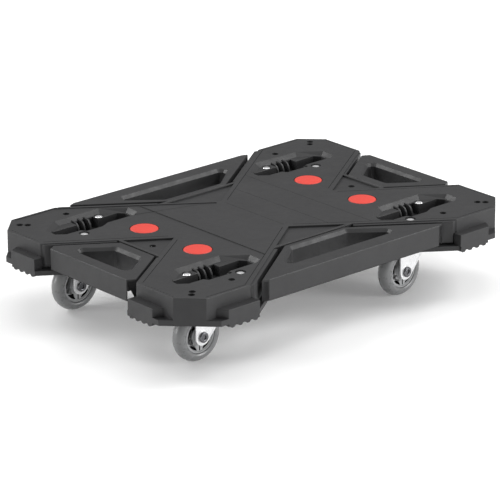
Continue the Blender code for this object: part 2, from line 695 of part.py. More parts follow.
def make_top_plate(corner):
    sign_x, sign_y = CORNERS[corner]
    x, y = sign_x * CASTER_X, sign_y * CASTER_Y
    half_length = PLATE_LENGTH / 2
    half_width = PLATE_WIDTH / 2
    signs = ((1, 1), (-1, 1), (-1, -1), (1, -1))
    corners = [(x + a * half_length, y + b * half_width) for a, b in signs]
    outlines = [rounded(corners, 9 * MM, 2), circle(x, y, KINGPIN_RADIUS + 2 * GAP, 10)]
    for name, _, hole_x, hole_y in hole_places():
        if name.endswith(corner):
            outlines.append(circle(hole_x, hole_y, SHANK_RADIUS + 2 * GAP, 8))
    mesh = outline_mesh("top_plate", outlines, PLATE_TOP - PLATE_SHEET, PLATE_TOP)
    add_object("top_plate_" + corner, mesh, PARTS, ZINC)


def make_fastener(name, kind, x, y):
    """A rivet with its head on top, or a screw driven up from below the plate."""
    under_plate = PLATE_TOP - PLATE_SHEET - GAP
    if "rivet" in kind:
        top = DECK_TOP - (LEDGE_HEAD_DEPTH if kind == "ledge_rivet" else TOP_HEAD_DEPTH)
        rim = top - 1.4 * MM
        foot = top - HEAD_HEIGHT
        profile = [(0, top), (3.6 * MM, top - 0.4 * MM), (HEAD_RADIUS, rim), (HEAD_RADIUS, foot)]
        profile += [(SHANK_RADIUS, foot), (SHANK_RADIUS, under_plate), (5 * MM, under_plate)]
        profile += [(4.4 * MM, under_plate - 2 * MM), (0, under_plate - 2 * MM)]
    else:
        tip = DECK_TOP - SCREW_DEPTH
        profile = [(0, tip), (SHANK_RADIUS * 0.7, tip), (SHANK_RADIUS, tip - 2 * MM)]
        profile += [(SHANK_RADIUS, under_plate), (5.5 * MM, under_plate)]
        profile += [(5.5 * MM, under_plate - 1.4 * MM), (3.5 * MM, under_plate - 2.8 * MM)]
        profile += [(0, under_plate - 2.8 * MM)]
    local = [(radius, height - DECK_TOP) for radius, height in profile]
    fastener = turned_object(name, local, PARTS, BRIGHT_STEEL, 10)
    fastener.location = (x, y, DECK_TOP)


def make_kingpin(corner):
    sign_x, sign_y = CORNERS[corner]
    crown_foot = PLATE_TOP - PLATE_SHEET - RACE_HEIGHT - 2 * GAP - FORK_SHEET
    head = crown_foot - GAP
    profile = [(0, PLATE_TOP), (KINGPIN_RADIUS, PLATE_TOP), (KINGPIN_RADIUS, head), (9 * MM, head)]
    profile += [(9 * MM, head - 2.5 * MM), (6 * MM, head - 4.5 * MM), (0, head - 4.5 * MM)]
    local = [(radius, height - PLATE_TOP) for radius, height in profile]
    pin = turned_object("kingpin_" + corner, local, PARTS, BRIGHT_STEEL, 12)
    pin.location = (sign_x * CASTER_X, sign_y * CASTER_Y, PLATE_TOP)


def attach(obj, parent):
    obj.parent = parent


def make_swivel_frame(corner):
    """The empty on the swivel axis, on the ground, turned to the caster's heading."""
    sign_x, sign_y = CORNERS[corner]
    frame = bpy.data.objects.new("swivel_axis_" + corner, None)
    frame.location = (sign_x * CASTER_X, sign_y * CASTER_Y, 0)
    frame.rotation_euler = (0, 0, math.radians(REST_YAW[corner]))
    bpy.context.scene.collection.objects.link(frame)
    return frame


def make_race(corner, frame):
    top = PLATE_TOP - PLATE_SHEET - GAP
    bottom = top - RACE_HEIGHT
    profile = [(9 * MM, top), (19 * MM, top), (RACE_RADIUS, top - 1.8 * MM), (RACE_RADIUS, bottom + 1.6 * MM)]
    profile += [(21 * MM, bottom), (9 * MM, bottom)]
    race = turned_object("swivel_race_" + corner, profile, PARTS, ZINC, 20, closed=True)
    attach(race, frame)


def leg_outline():
    """A fork leg from its side, as (forward, height), round at the axle and slanting to the crown."""
    top = PLATE_TOP - PLATE_SHEET - RACE_HEIGHT - 2 * GAP - MM
    points = [(-TRAIL - FORK_ROUND, top)]
    for step in range(7):
        turn = math.radians(180 + 139 * step / 6)
        points.append((-TRAIL + FORK_ROUND * math.cos(turn), WHEEL_RADIUS + FORK_ROUND * math.sin(turn)))
    points.append((RACE_RADIUS - 2 * MM, top - 2 * MM))
    points.append((RACE_RADIUS - 2 * MM, top))
    return points


def make_fork(corner, frame):
    """A pressed fork: a round crown under the race and two tapered legs."""
    top = PLATE_TOP - PLATE_SHEET - RACE_HEIGHT - 2 * GAP
    outside = FORK_INSIDE + FORK_SHEET
    crown = [(RACE_RADIUS * math.cos(a), RACE_RADIUS * math.sin(a))
             for a in (math.radians(-49 + 98 * k / 6) for k in range(7))]
    crown += [(-TRAIL - FORK_ROUND, outside), (-TRAIL - FORK_ROUND, -outside)]
    outlines = [crown, circle(0, 0, KINGPIN_RADIUS + 2 * GAP, 10)]
    name = "fork_" + corner
    fork = add_object(name, outline_mesh(name, outlines, top - FORK_SHEET, top), PARTS, ZINC)
    attach(fork, frame)
    axle_hole = circle(-TRAIL, WHEEL_RADIUS, AXLE_RADIUS + 2 * GAP, 8)
    for side in (1, -1):
        leg = outline_mesh("leg", [leg_outline(), axle_hole], 0, FORK_SHEET)
        for vertex in leg.vertices:
            forward, height, depth = vertex.co
            vertex.co = (forward, side * (FORK_INSIDE + depth - 0.05 * MM), height)
        weld(leg)
        guide = add_object(f"leg_{side}_{corner}", leg, CUTTERS)
        attach(guide, frame)
        boolean(fork, "UNION", guide)


def make_axle_frame(corner, frame):
    """The empty on the wheel's axis; its Z axis points to the caster's right."""
    axle = bpy.data.objects.new("axle_axis_" + corner, None)
    axle.location = (-TRAIL, 0, WHEEL_RADIUS)
    axle.rotation_euler = (math.radians(90), 0, 0)
    axle.parent = frame
    bpy.context.scene.collection.objects.link(axle)
    return axle


def make_axle(corner, axle):
    """The axle bolt, with a socket in its head, and the nut on its far end."""
    outside = FORK_INSIDE + FORK_SHEET + GAP
    head = 7.4 * MM
    profile = [(0, outside + 1.4 * MM), (3.2 * MM, outside + 1.4 * MM), (3.6 * MM, outside + 3 * MM)]
    profile += [(6.8 * MM, outside + 3 * MM), (head, outside + 2.2 * MM), (head, outside)]
    profile += [(AXLE_RADIUS, outside), (AXLE_RADIUS, -outside - 7 * MM), (0, -outside - 7 * MM)]
    bolt = turned_object("axle_bolt_" + corner, profile, PARTS, BRIGHT_STEEL, 12)
    attach(bolt, axle)
    outlines = [circle(0, 0, 7.2 * MM, 6), circle(0, 0, AXLE_RADIUS + 2 * GAP, 8)]
    nut = add_object("axle_nut_" + corner, outline_mesh(
        "axle_nut", outlines, -outside - 5.5 * MM, -outside), PARTS, BRIGHT_STEEL)
    attach(nut, axle)


def hub_window(middle):
    """One window's outline: an arc along the rim, and a flatter side towards the boss."""
    outline = []
    for radius, spread in ((21.4, 25), (21.8, 0), (21.4, -25), (14.6, -14), (14.6, 14)):
        angle = math.radians(middle + spread)
        outline.append((radius * MM * math.cos(angle), radius * MM * math.sin(angle)))
    return outline[::-1]


def make_wheel(corner, axle):
    """A hub with blind windows in both faces, and a soft tyre on its rim."""
    bore = AXLE_RADIUS + 2 * GAP
    boss = 10 * MM
    end = FORK_INSIDE - GAP
    side = HUB_HALF_WIDTH
    profile = [(bore, end), (boss, end), (boss, side), (HUB_RADIUS, side)]
    profile += [(r, -z) for r, z in reversed(profile)]
    hub = turned_object("wheel_hub_" + corner, profile, PARTS, HUB_PLASTIC, 30, closed=True)
    attach(hub, axle)
    windows = []
    for index in range(5):
        outline = hub_window(90 + 72 * index)
        floor = side - HUB_POCKET_DEPTH
        windows.append(outline_mesh("window", [outline], floor, side + MM))
        windows.append(outline_mesh("window", [outline], -side - MM, -floor))
    cutter = joined("windows_" + corner, windows, CUTTERS)
    attach(cutter, axle)
    boolean(hub, "DIFFERENCE", cutter)
    inner = HUB_RADIUS + GAP
    half = [(inner, 10.2 * MM), (28.6 * MM, TYRE_HALF_WIDTH), (33.6 * MM, 9 * MM), (36.5 * MM, 5.4 * MM)]
    half.append((WHEEL_RADIUS, 2 * MM))
    tyre_profile = half + [(r, -z) for r, z in reversed(half)]
    tyre = turned_object("tyre_" + corner, tyre_profile, PARTS, TYRE_RUBBER, 28, closed=True)
    attach(tyre, axle)


def make_casters():
    for corner in CORNERS:
        make_top_plate(corner)
        make_kingpin(corner)
        frame = make_swivel_frame(corner)
        make_race(corner, frame)
        make_fork(corner, frame)
        axle = make_axle_frame(corner, frame)
        make_axle(corner, axle)
        make_wheel(corner, axle)


clear_scene()
PARTS = make_collection("mechanics_creeper")
CUTTERS = make_collection("cutters")
DECK_PLASTIC = make_material("deck_plastic", (0.024, 0.024, 0.026), 0.62, 0.0)
GRIP_PLASTIC = make_material("grip_plastic", (0.022, 0.022, 0.024), 0.58, 0.0)
PAD_RUBBER = make_material("pad_rubber", (0.72, 0.055, 0.04), 0.55, 0.0)
ZINC = make_material("zinc", (0.72, 0.73, 0.75), 0.28, 1.0)
BRIGHT_STEEL = make_material("bright_steel", (0.8, 0.8, 0.82), 0.2, 1.0)
HUB_PLASTIC = make_material("hub_plastic", (0.2, 0.21, 0.21), 0.45, 0.0)
TYRE_RUBBER = make_material("tyre_rubber", (0.3, 0.3, 0.29), 0.4, 0.0)
make_deck()
for grip_side in grip_sides():
    make_grip(*grip_side)
for corner_name in CORNERS:
    make_pad(corner_name)
make_casters()
for hole_place in hole_places():
    make_fastener(*hole_place)
bpy.context.view_layer.update()
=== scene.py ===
import json
import math

import bmesh
import bpy
from mathutils import Matrix, Vector


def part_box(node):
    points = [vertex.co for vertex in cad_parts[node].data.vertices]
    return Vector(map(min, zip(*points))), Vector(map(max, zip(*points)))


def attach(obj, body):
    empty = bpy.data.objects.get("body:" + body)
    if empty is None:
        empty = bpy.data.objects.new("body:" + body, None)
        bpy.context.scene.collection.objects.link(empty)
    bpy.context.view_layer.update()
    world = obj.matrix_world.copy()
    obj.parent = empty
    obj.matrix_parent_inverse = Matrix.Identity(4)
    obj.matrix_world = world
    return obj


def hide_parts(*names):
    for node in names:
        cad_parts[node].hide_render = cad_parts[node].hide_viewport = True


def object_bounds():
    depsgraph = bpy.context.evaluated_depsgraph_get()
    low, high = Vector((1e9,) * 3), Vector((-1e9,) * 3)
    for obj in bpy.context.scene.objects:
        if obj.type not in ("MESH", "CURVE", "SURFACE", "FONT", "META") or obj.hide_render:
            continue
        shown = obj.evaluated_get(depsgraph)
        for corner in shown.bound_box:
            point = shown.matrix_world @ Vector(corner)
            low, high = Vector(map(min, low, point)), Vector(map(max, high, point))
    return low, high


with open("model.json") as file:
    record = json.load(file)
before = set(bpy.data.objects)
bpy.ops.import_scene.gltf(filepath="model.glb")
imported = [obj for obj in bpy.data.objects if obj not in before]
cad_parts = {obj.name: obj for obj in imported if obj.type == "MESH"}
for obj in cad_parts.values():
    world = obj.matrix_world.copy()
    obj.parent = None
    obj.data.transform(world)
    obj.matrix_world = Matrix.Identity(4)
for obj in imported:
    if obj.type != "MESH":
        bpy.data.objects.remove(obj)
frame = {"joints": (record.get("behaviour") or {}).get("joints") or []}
cad_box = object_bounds()

MM = 0.001
GAP = 0.3
CORNERS = {"front_right": (1, -1), "front_left": (1, 1), "rear_right": (-1, -1), "rear_left": (-1, 1)}
JOINTS = {joint["name"]: joint for joint in frame["joints"]}


def box_mm(node):
    """The lowest and highest corner of a node, in millimetres."""
    low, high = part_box(node)
    return low / MM, high / MM


# ---------------------------------------------------------------- sizes, in millimetres

DECK_LOW, DECK_HIGH = box_mm("deck_frame")
TOP = DECK_HIGH.z
FLANGE_OUT = 14
HALF_LENGTH = DECK_HIGH.x - FLANGE_OUT
HALF_WIDTH = DECK_HIGH.y - FLANGE_OUT
SHORT_WALL = (103.5, 177.5)
LONG_WALL = (192.3, 269)
SHORT_APEX = 147.5
LONG_APEX = 70.5
SHORT_PAD_EDGE = 211
LONG_PAD_EDGE = 122
PAD_RIM = 4.5
PLATE = 6
PAD_DROP = 3
PAD_STEP = 0.5
WALL = 3
RIB = 2.5
RIB_PITCH = 50
RIB_DEPTH = 25.2
SKIRT_DEPTH = 32.4
FLANGE_TOP = 31.4
FLANGE_DEPTH = 39.2
LEDGE_DEPTH = 19
SHORT_LEDGE = (100, 151, 158)
LONG_LEDGE = (187, 242, 252)
FLANGE_START = 6.5
LEDGE_FOOT = 36.5
SHELF_TOP = 35.6
SHELF_DEPTH = 42.4
SHELF_OUT = 11.5
SHELF_LENGTH = 84
SHELF_FOOTING = 5
SHORT_RIM_OUT = 3
LONG_RIM_OUT = 5
ARM_RIM_TOP = 1.2
TOOTH_VALLEY = 42.7
TOOTH_TIP = TOP - DECK_LOW.z
TEETH = 4

GRIP_DEPTH = 31.5
GRIP_WALL = 3.2
GRIP_PLATE = 4
SHORT_GRIP = [(213, 36), (289, 88), (300, 81.5)]
LONG_GRIP = [(124, 55), (204, 168), (208, 158)]
SHORT_OPENING = [(232, 26), (277, 58)]
LONG_OPENING = [(135, 51.5), (180, 108)]
OPENING_RADIUS = 7
OPENING_CHAMFER = 4.2
END_WINDOW_INSET = 1.2
HOOK_SIZE = (10, 6)

RECESS_SHIFT = (-1, 7)
RECESS_RIM = [(-72, 4), (-40, 27), (39, 27), (73.5, 2), (72, -20), (60, -27), (-60, -27), (-74, -17)]
RECESS_FLOOR = [(-66, 1), (-37, 20), (36, 20), (67, 0), (66, -20), (60, -27), (-60, -27), (-67, -19)]
RECESS_DEPTH = 5.8
SLOT_OUTLINE = [(-62, 6.5), (-16, 6.5), (-16, 19), (22, 19), (22, 6.5), (57, 6.5), (64.5, -2)]
SLOT_OUTLINE += [(64.5, -17), (55, -26), (-55, -26), (-64, -17)]
SLOT_DEPTH = 21
POCKET_WALL = 2.5
FIN_POSITIONS = (-12.8, -2.3, 8.2)
FIN_THICKNESS = 2.6
# a fin's edge as (across, below the deck's top), from the recess floor down to the slot's floor
FIN_EDGE = [(24.5, 3.8), (18, 3.9), (14, 4.2), (12.4, 4.7), (11, 5.6), (9.6, 6.9), (8.4, 8.6), (7.4, 10.2)]
FIN_EDGE += [(6.6, 12), (5.5, 15), (4.4, 19), (4, 22)]
NOTCH_RIM = [(-37, -25), (-25.5, -44.5), (13, -27), (13, -25)]
NOTCH_DEPTH = 3.5
CORNER_HOLES = [(265.5, 175.5), (273.5, 183.5)]
SINGLE_HOLE = (197, 176)
PAD_HOLE = (186, 0)
SMALL_HOLE_RADIUS = 4.9
BOSS_RADIUS = 9.2

GROOVE_INSET = 6.7
GROOVE_WIDTH = 0.9
GROOVE_DEPTH = 0.8
GRID_WIDTH = 0.5
GRID_DEPTH = 0.22
EDGE_ROUND = 0.7


def outlines_area(points):
    return sum(a[0] * b[1] - b[0] * a[1] for a, b in zip(points, points[1:] + points[:1]))


def turned(points, sign_x=1, sign_y=1):
    """The points mirrored by the signs, always anticlockwise."""
    result = [(x * sign_x, y * sign_y) for x, y in points]
    return result if outlines_area(result) > 0 else result[::-1]


def quarter_turned(points):
    return [(y, x) for x, y in points]


def rounded(points, radius, steps=6):
    result = []
    for i, point in enumerate(points):
        here = Vector(point)
        before = (Vector(points[i - 1]) - here).normalized()
        after = (Vector(points[(i + 1) % len(points)]) - here).normalized()
        half = before.angle(after) / 2
        start = here + before * radius / math.tan(half)
        end = here + after * radius / math.tan(half)
        centre = here + (before + after).normalized() * radius / math.sin(half)
        for k in range(steps + 1):
            arm = (start - centre).lerp(end - centre, k / steps)
            result.append(tuple(centre + arm.normalized() * radius))
    return result


def offset_outline(points, distance):
    result = []
    for i, point in enumerate(points):
        here = Vector(point)
        along = (here - Vector(points[i - 1])).normalized()
        onward = (Vector(points[(i + 1) % len(points)]) - here).normalized()
        normal = Vector((along.y, -along.x)) + Vector((onward.y, -onward.x))
        result.append(tuple(here + normal * 2 * distance / normal.length_squared))
    return result


def circle(x, y, radius, segments=32):
    turn = 2 * math.pi / segments
    return [(x + radius * math.cos(k * turn), y + radius * math.sin(k * turn)) for k in range(segments)]


def ribbon(start, end, width):
    """A thin rectangle along a line, seen from above."""
    a, b = Vector(start), Vector(end)
    along = (b - a).normalized()
    side = Vector((-along.y, along.x)) * width / 2
    a -= along * width / 2
    b += along * width / 2
    return [tuple(a - side), tuple(b - side), tuple(b + side), tuple(a + side)]


def weld(mesh, flat=0.0005):
    shape = bmesh.new()
    shape.from_mesh(mesh)
    bmesh.ops.remove_doubles(shape, verts=shape.verts, dist=0.00001)
    bmesh.ops.dissolve_limit(shape, angle_limit=flat, verts=shape.verts, edges=shape.edges)
    bmesh.ops.recalc_face_normals(shape, faces=shape.faces)
    shape.to_mesh(mesh)
    shape.free()


def triangulated(mesh):
    shape = bmesh.new()
    shape.from_mesh(mesh)
    bmesh.ops.triangulate(shape, faces=shape.faces)
    shape.to_mesh(mesh)
    shape.free()


def prism(outlines, low, high):
    """A solid from flat outlines in millimetres, between two heights."""
    curve = bpy.data.curves.new("outline", "CURVE")
    curve.dimensions = "2D"
    curve.fill_mode = "BOTH"
    curve.extrude = (high - low) / 2 * MM
    for outline in outlines:
        spline = curve.splines.new("POLY")
        spline.points.add(len(outline) - 1)
        for point, (x, y) in zip(spline.points, outline):
            point.co = (x * MM, y * MM, 0, 1)
        spline.use_cyclic_u = True
    guide = bpy.data.objects.new("outline", curve)
    bpy.context.scene.collection.objects.link(guide)
    bpy.context.view_layer.update()
    mesh = bpy.data.meshes.new_from_object(guide.evaluated_get(bpy.context.evaluated_depsgraph_get()))
    bpy.data.objects.remove(guide, do_unlink=True)
    mesh.transform(Matrix.Translation((0, 0, (high + low) / 2 * MM)))
    weld(mesh)
    return mesh


def tapered(top_outline, floor_outline, low, high):
    """A prism whose outline changes evenly from the top to the floor."""
    mesh = prism([top_outline], low, high)
    for vertex in mesh.vertices:
        if vertex.co.z < (low + high) / 2 * MM:
            spot = vertex.co.xy / MM
            distances = [(spot - Vector(point)).length for point in top_outline]
            vertex.co.xy = Vector(floor_outline[distances.index(min(distances))]) * MM
    triangulated(mesh)
    return mesh


def block(low, high):
    shape = bmesh.new()
    bmesh.ops.create_cube(shape, size=1)
    for vertex in shape.verts:
        for axis in range(3):
            vertex.co[axis] = (low[axis] if vertex.co[axis] < 0 else high[axis]) * MM
    mesh = bpy.data.meshes.new("block")
    shape.to_mesh(mesh)
    shape.free()
    return mesh


def merged(meshes):
    shape = bmesh.new()
    for mesh in meshes:
        shape.from_mesh(mesh)
    result = bpy.data.meshes.new("merged")
    shape.to_mesh(result)
    shape.free()
    return result


def carved(mesh, operation, tool):
    """The exact boolean of two meshes, as a new mesh."""
    body = bpy.data.objects.new("carve_body", mesh)
    cutter = bpy.data.objects.new("carve_tool", tool)
    for obj in (body, cutter):
        bpy.context.scene.collection.objects.link(obj)
    modifier = body.modifiers.new("Boolean", "BOOLEAN")
    modifier.operation = operation
    modifier.solver = "EXACT"
    modifier.object = cutter
    bpy.context.view_layer.update()
    result = bpy.data.meshes.new_from_object(body.evaluated_get(bpy.context.evaluated_depsgraph_get()))
    for obj in (body, cutter):
        bpy.data.objects.remove(obj, do_unlink=True)
    weld(result)
    return result


def softened(mesh, width, segments, wanted=None, angle=24, shortest=1.2):
    """Round the sharp outer edges, leaving out the very short ones."""
    shape = bmesh.new()
    shape.from_mesh(mesh)
    edges = []
    for edge in shape.edges:
        if len(edge.link_faces) != 2 or edge.calc_length() < shortest * MM:
            continue
        if edge.calc_face_angle_signed(0) < math.radians(angle):
            continue
        if wanted and not wanted(edge):
            continue
        edges.append(edge)
    bmesh.ops.bevel(shape, geom=edges, offset=width * MM, offset_type="OFFSET", segments=segments,
                    profile=0.5, affect="EDGES", clamp_overlap=False, miter_outer="SHARP")
    shape.to_mesh(mesh)
    shape.free()
    return mesh


def lathe(profile, steps=96, closed=False):
    """A turned solid round the Z axis from (radius, height) pairs in millimetres."""
    shape = bmesh.new()
    ring = [shape.verts.new((radius * MM, 0, height * MM)) for radius, height in profile]
    edges = [shape.edges.new(pair) for pair in zip(ring, ring[1:])]
    if closed:
        edges.append(shape.edges.new((ring[-1], ring[0])))
    bmesh.ops.spin(shape, geom=ring + edges, cent=(0, 0, 0), axis=(0, 0, 1), angle=2 * math.pi,
                   steps=steps, use_merge=True)
    bmesh.ops.remove_doubles(shape, verts=shape.verts, dist=0.000005)
    bmesh.ops.recalc_face_normals(shape, faces=shape.faces)
    mesh = bpy.data.meshes.new("lathe")
    shape.to_mesh(mesh)
    shape.free()
    return mesh


def smoothed_profile(points, radius, steps=4):
    """Round the inner corners of an open profile."""
    result = [points[0]]
    for before, here, after in zip(points, points[1:], points[2:]):
        a, h, b = Vector(before), Vector(here), Vector(after)
        reach = min(radius, (a - h).length * 0.45, (b - h).length * 0.45)
        start = h + (a - h).normalized() * reach
        end = h + (b - h).normalized() * reach
        for k in range(steps + 1):
            t = k / steps
            point = start * (1 - t) ** 2 + h * 2 * t * (1 - t) + end * t ** 2
            result.append(tuple(point))
    return result + [points[-1]]


def piece(name, mesh, material, body, slot, *nodes, smooth=None, place=None):
    """A finished piece: its mesh, material, body and the nodes it stands for; the slot argument is not used."""
    mesh.name = name
    mesh.materials.clear()
    mesh.materials.append(material)
    if smooth is None:
        mesh.shade_flat()
    else:
        mesh.shade_smooth()
        mesh.set_sharp_from_angle(angle=math.radians(smooth))
    obj = bpy.data.objects.new(name, mesh)
    bpy.context.scene.collection.objects.link(obj)
    if place is not None:
        obj.matrix_world = place
    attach(obj, body)
    if nodes:
        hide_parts(*nodes)
    return obj


# ---------------------------------------------------------------- materials


def new_material(name):
    material = bpy.data.materials.new(name)
    material.use_nodes = True
    return material, material.node_tree.nodes, material.node_tree.links


def add_noise(nodes, links, scale, detail, roughness=0.6, stretch=None):
    place = nodes.new("ShaderNodeTexCoord")
    mapping = nodes.new("ShaderNodeMapping")
    if stretch:
        mapping.inputs["Scale"].default_value = stretch
    noise = nodes.new("ShaderNodeTexNoise")
    noise.inputs["Scale"].default_value = scale
    noise.inputs["Detail"].default_value = detail
    noise.inputs["Roughness"].default_value = roughness
    links.new(place.outputs["Object"], mapping.inputs["Vector"])
    links.new(mapping.outputs["Vector"], noise.inputs["Vector"])
    return noise


def add_ramp(nodes, links, source, stops):
    ramp = nodes.new("ShaderNodeValToRGB")
    elements = ramp.color_ramp.elements
    elements[0].position, elements[0].color = stops[0][0], (*stops[0][1], 1)
    elements[1].position, elements[1].color = stops[-1][0], (*stops[-1][1], 1)
    for position, colour in stops[1:-1]:
        element = elements.new(position)
        element.color = (*colour, 1)
    links.new(source, ramp.inputs["Fac"])
    return ramp


def add_range(nodes, links, source, low, high):
    spread = nodes.new("ShaderNodeMapRange")
    spread.inputs["From Min"].default_value = 0.3
    spread.inputs["From Max"].default_value = 0.7
    spread.inputs["To Min"].default_value = low
    spread.inputs["To Max"].default_value = high
    links.new(source, spread.inputs["Value"])
    return spread


def plastic(name, colour, spread, roughness, specular, grain, grain_height, extra=0.0):
    """Moulded plastic: blotchy tone, fine spark-eroded grain and slightly uneven gloss."""
    material, nodes, links = new_material(name)
    shader = nodes["Principled BSDF"]
    blotch = add_noise(nodes, links, 14, 5, 0.55)
    low = tuple(c * (1 - spread) for c in colour)
    high = tuple(c * (1 + spread) for c in colour)
    ramp = add_ramp(nodes, links, blotch.outputs["Fac"], [(0.3, low), (0.5, colour), (0.72, high)])
    links.new(ramp.outputs["Color"], shader.inputs["Base Color"])
    gloss = add_noise(nodes, links, 60, 4)
    span = add_range(nodes, links, gloss.outputs["Fac"], roughness - 0.07, roughness + 0.07)
    links.new(span.outputs["Result"], shader.inputs["Roughness"])
    fine = add_noise(nodes, links, grain, 3, 0.65)
    bump = nodes.new("ShaderNodeBump")
    bump.inputs["Strength"].default_value = 0.5
    bump.inputs["Distance"].default_value = grain_height
    links.new(fine.outputs["Fac"], bump.inputs["Height"])
    links.new(bump.outputs["Normal"], shader.inputs["Normal"])
    shader.inputs["Specular IOR Level"].default_value = specular
    if extra:
        shader.inputs["Subsurface Weight"].default_value = extra
        shader.inputs["Subsurface Radius"].default_value = (1.0, 0.9, 0.8)
        shader.inputs["Subsurface Scale"].default_value = 0.006
    return material


def metal(name, colour, roughness, metallic, scale, stretch, height):
    """Plated steel: faint brushing and a slightly uneven shine."""
    material, nodes, links = new_material(name)
    shader = nodes["Principled BSDF"]
    shader.inputs["Metallic"].default_value = metallic
    tone = add_noise(nodes, links, 90, 4)
    low = tuple(c * 0.9 for c in colour)
    ramp = add_ramp(nodes, links, tone.outputs["Fac"], [(0.3, low), (0.7, colour)])
    links.new(ramp.outputs["Color"], shader.inputs["Base Color"])
    brush = add_noise(nodes, links, scale, 3, 0.6, stretch)
    span = add_range(nodes, links, brush.outputs["Fac"], roughness - 0.06, roughness + 0.08)
    links.new(span.outputs["Result"], shader.inputs["Roughness"])
    bump = nodes.new("ShaderNodeBump")
    bump.inputs["Strength"].default_value = 0.35
    bump.inputs["Distance"].default_value = height
    links.new(brush.outputs["Fac"], bump.inputs["Height"])
    links.new(bump.outputs["Normal"], shader.inputs["Normal"])
    return material


DECK_BLACK = plastic("deck_black", (0.026, 0.026, 0.027), 0.1, 0.5, 0.36, 900, 0.00012)
GRIP_BLACK = plastic("grip_black", (0.025, 0.025, 0.026), 0.12, 0.48, 0.36, 900, 0.00012)
PAD_RED = plastic("pad_red", (0.62, 0.05, 0.035), 0.05, 0.5, 0.4, 1300, 0.00008)
TYRE_GREY = plastic("tyre_grey", (0.2, 0.203, 0.205), 0.05, 0.28, 0.5, 500, 0.00003, extra=0.05)
HUB_GREY = plastic("hub_grey", (0.38, 0.385, 0.39), 0.05, 0.38, 0.5, 700, 0.00005)
# painted shade: near-black plastic for the floors and walls deep in the hub's windows, standing in for the shade
# that falls inside them
HUB_PAINTED_SHADE = plastic("hub_painted_shade", (0.012, 0.012, 0.013), 0.05, 0.6, 0.2, 700, 0.00005)
ZINC = metal("zinc_plate", (0.95, 0.95, 0.96), 0.3, 0.35, 400, (1, 1, 8), 0.00003)
# painted reflection: the axle bolt is bright plated steel; its colour is darkened to stand in for the dark
# surroundings that its polished head reflects
BOLT_PAINTED_DARK_REFLECTION = metal("bolt_painted_dark_reflection", (0.16, 0.16, 0.17), 0.22, 0.9, 600, (1, 1, 1), 0.00002)
STEEL = metal("bright_steel", (0.93, 0.93, 0.94), 0.24, 0.85, 600, (1, 1, 1), 0.00002)


# ---------------------------------------------------------------- deck


def arm_edge_y(x):
    return (x - SHORT_APEX) * SHORT_WALL[0] / (HALF_LENGTH - SHORT_APEX)


def arm_edge_x(y):
    return (y - LONG_APEX) * LONG_WALL[0] / (HALF_WIDTH - LONG_APEX)


def deck_outline():
    quarter = [(SHORT_PAD_EDGE, arm_edge_y(SHORT_PAD_EDGE)), (HALF_LENGTH, SHORT_WALL[0])]
    quarter += [(HALF_LENGTH, SHORT_WALL[1]), (LONG_WALL[1], HALF_WIDTH), (LONG_WALL[0], HALF_WIDTH)]
    quarter += [(arm_edge_x(LONG_PAD_EDGE), LONG_PAD_EDGE)]
    ring = list(quarter)
    ring += [(-x, y) for x, y in reversed(quarter)]
    ring += [(-x, -y) for x, y in quarter]
    ring += [(x, -y) for x, y in reversed(quarter)]
    return ring


def flange_outline(sign_x, sign_y):
    out_x = HALF_LENGTH + FLANGE_OUT
    out_y = HALF_WIDTH + FLANGE_OUT
    chamfer_sum = (HALF_LENGTH + SHORT_WALL[1] + LONG_WALL[1] + HALF_WIDTH) / 2
    in_x = HALF_LENGTH - WALL
    in_y = HALF_WIDTH - WALL
    start_y = SHORT_LEDGE[0] + 1.5
    start_x = LONG_LEDGE[0] + 1.5
    corner = WALL * math.tan(math.radians(22.5))
    points = [
        (in_x, start_y + FLANGE_START), (HALF_LENGTH, start_y + FLANGE_START), (out_x, start_y),
        (out_x, chamfer_sum - out_x), (chamfer_sum - out_y, out_y), (start_x, out_y),
        (start_x + FLANGE_START, HALF_WIDTH), (start_x + FLANGE_START, in_y),
        (LONG_WALL[1] - corner, in_y), (in_x, SHORT_WALL[1] - corner),
    ]
    return turned(points, sign_x, sign_y)


def ledge_outlines(sign_x, sign_y):
    out_x = HALF_LENGTH + FLANGE_OUT
    out_y = HALF_WIDTH + FLANGE_OUT
    in_x = HALF_LENGTH - WALL / 2
    in_y = HALF_WIDTH - WALL / 2
    short_side = [
        (in_x, max(SHORT_LEDGE[0], SHORT_WALL[0] + 1)), (HALF_LENGTH, SHORT_LEDGE[0]),
        (out_x, SHORT_LEDGE[0]), (out_x, SHORT_LEDGE[1]), (HALF_LENGTH, SHORT_LEDGE[2]),
        (in_x, SHORT_LEDGE[2]),
    ]
    long_side = [
        (LONG_LEDGE[2], in_y), (LONG_LEDGE[2], HALF_WIDTH), (LONG_LEDGE[1], out_y),
        (LONG_LEDGE[0], out_y), (LONG_LEDGE[0], HALF_WIDTH), (LONG_WALL[0] + 1, in_y),
    ]
    return [turned(side, sign_x, sign_y) for side in (short_side, long_side)]


def standing(profile, along_x, sign_x, sign_y, inset):
    """A solid under a ledge's outer face, from its profile as (distance along the side, height)."""
    mesh = prism([profile], 0, FLANGE_OUT - 2)
    for vertex in mesh.vertices:
        along, height, depth = vertex.co / MM
        if along_x:
            spot = (sign_x * along, sign_y * (HALF_WIDTH + FLANGE_OUT - depth - inset), height)
        else:
            spot = (sign_x * (HALF_LENGTH + FLANGE_OUT - depth - inset), sign_y * along, height)
        vertex.co = Vector(spot) * MM
    weld(mesh)
    return mesh


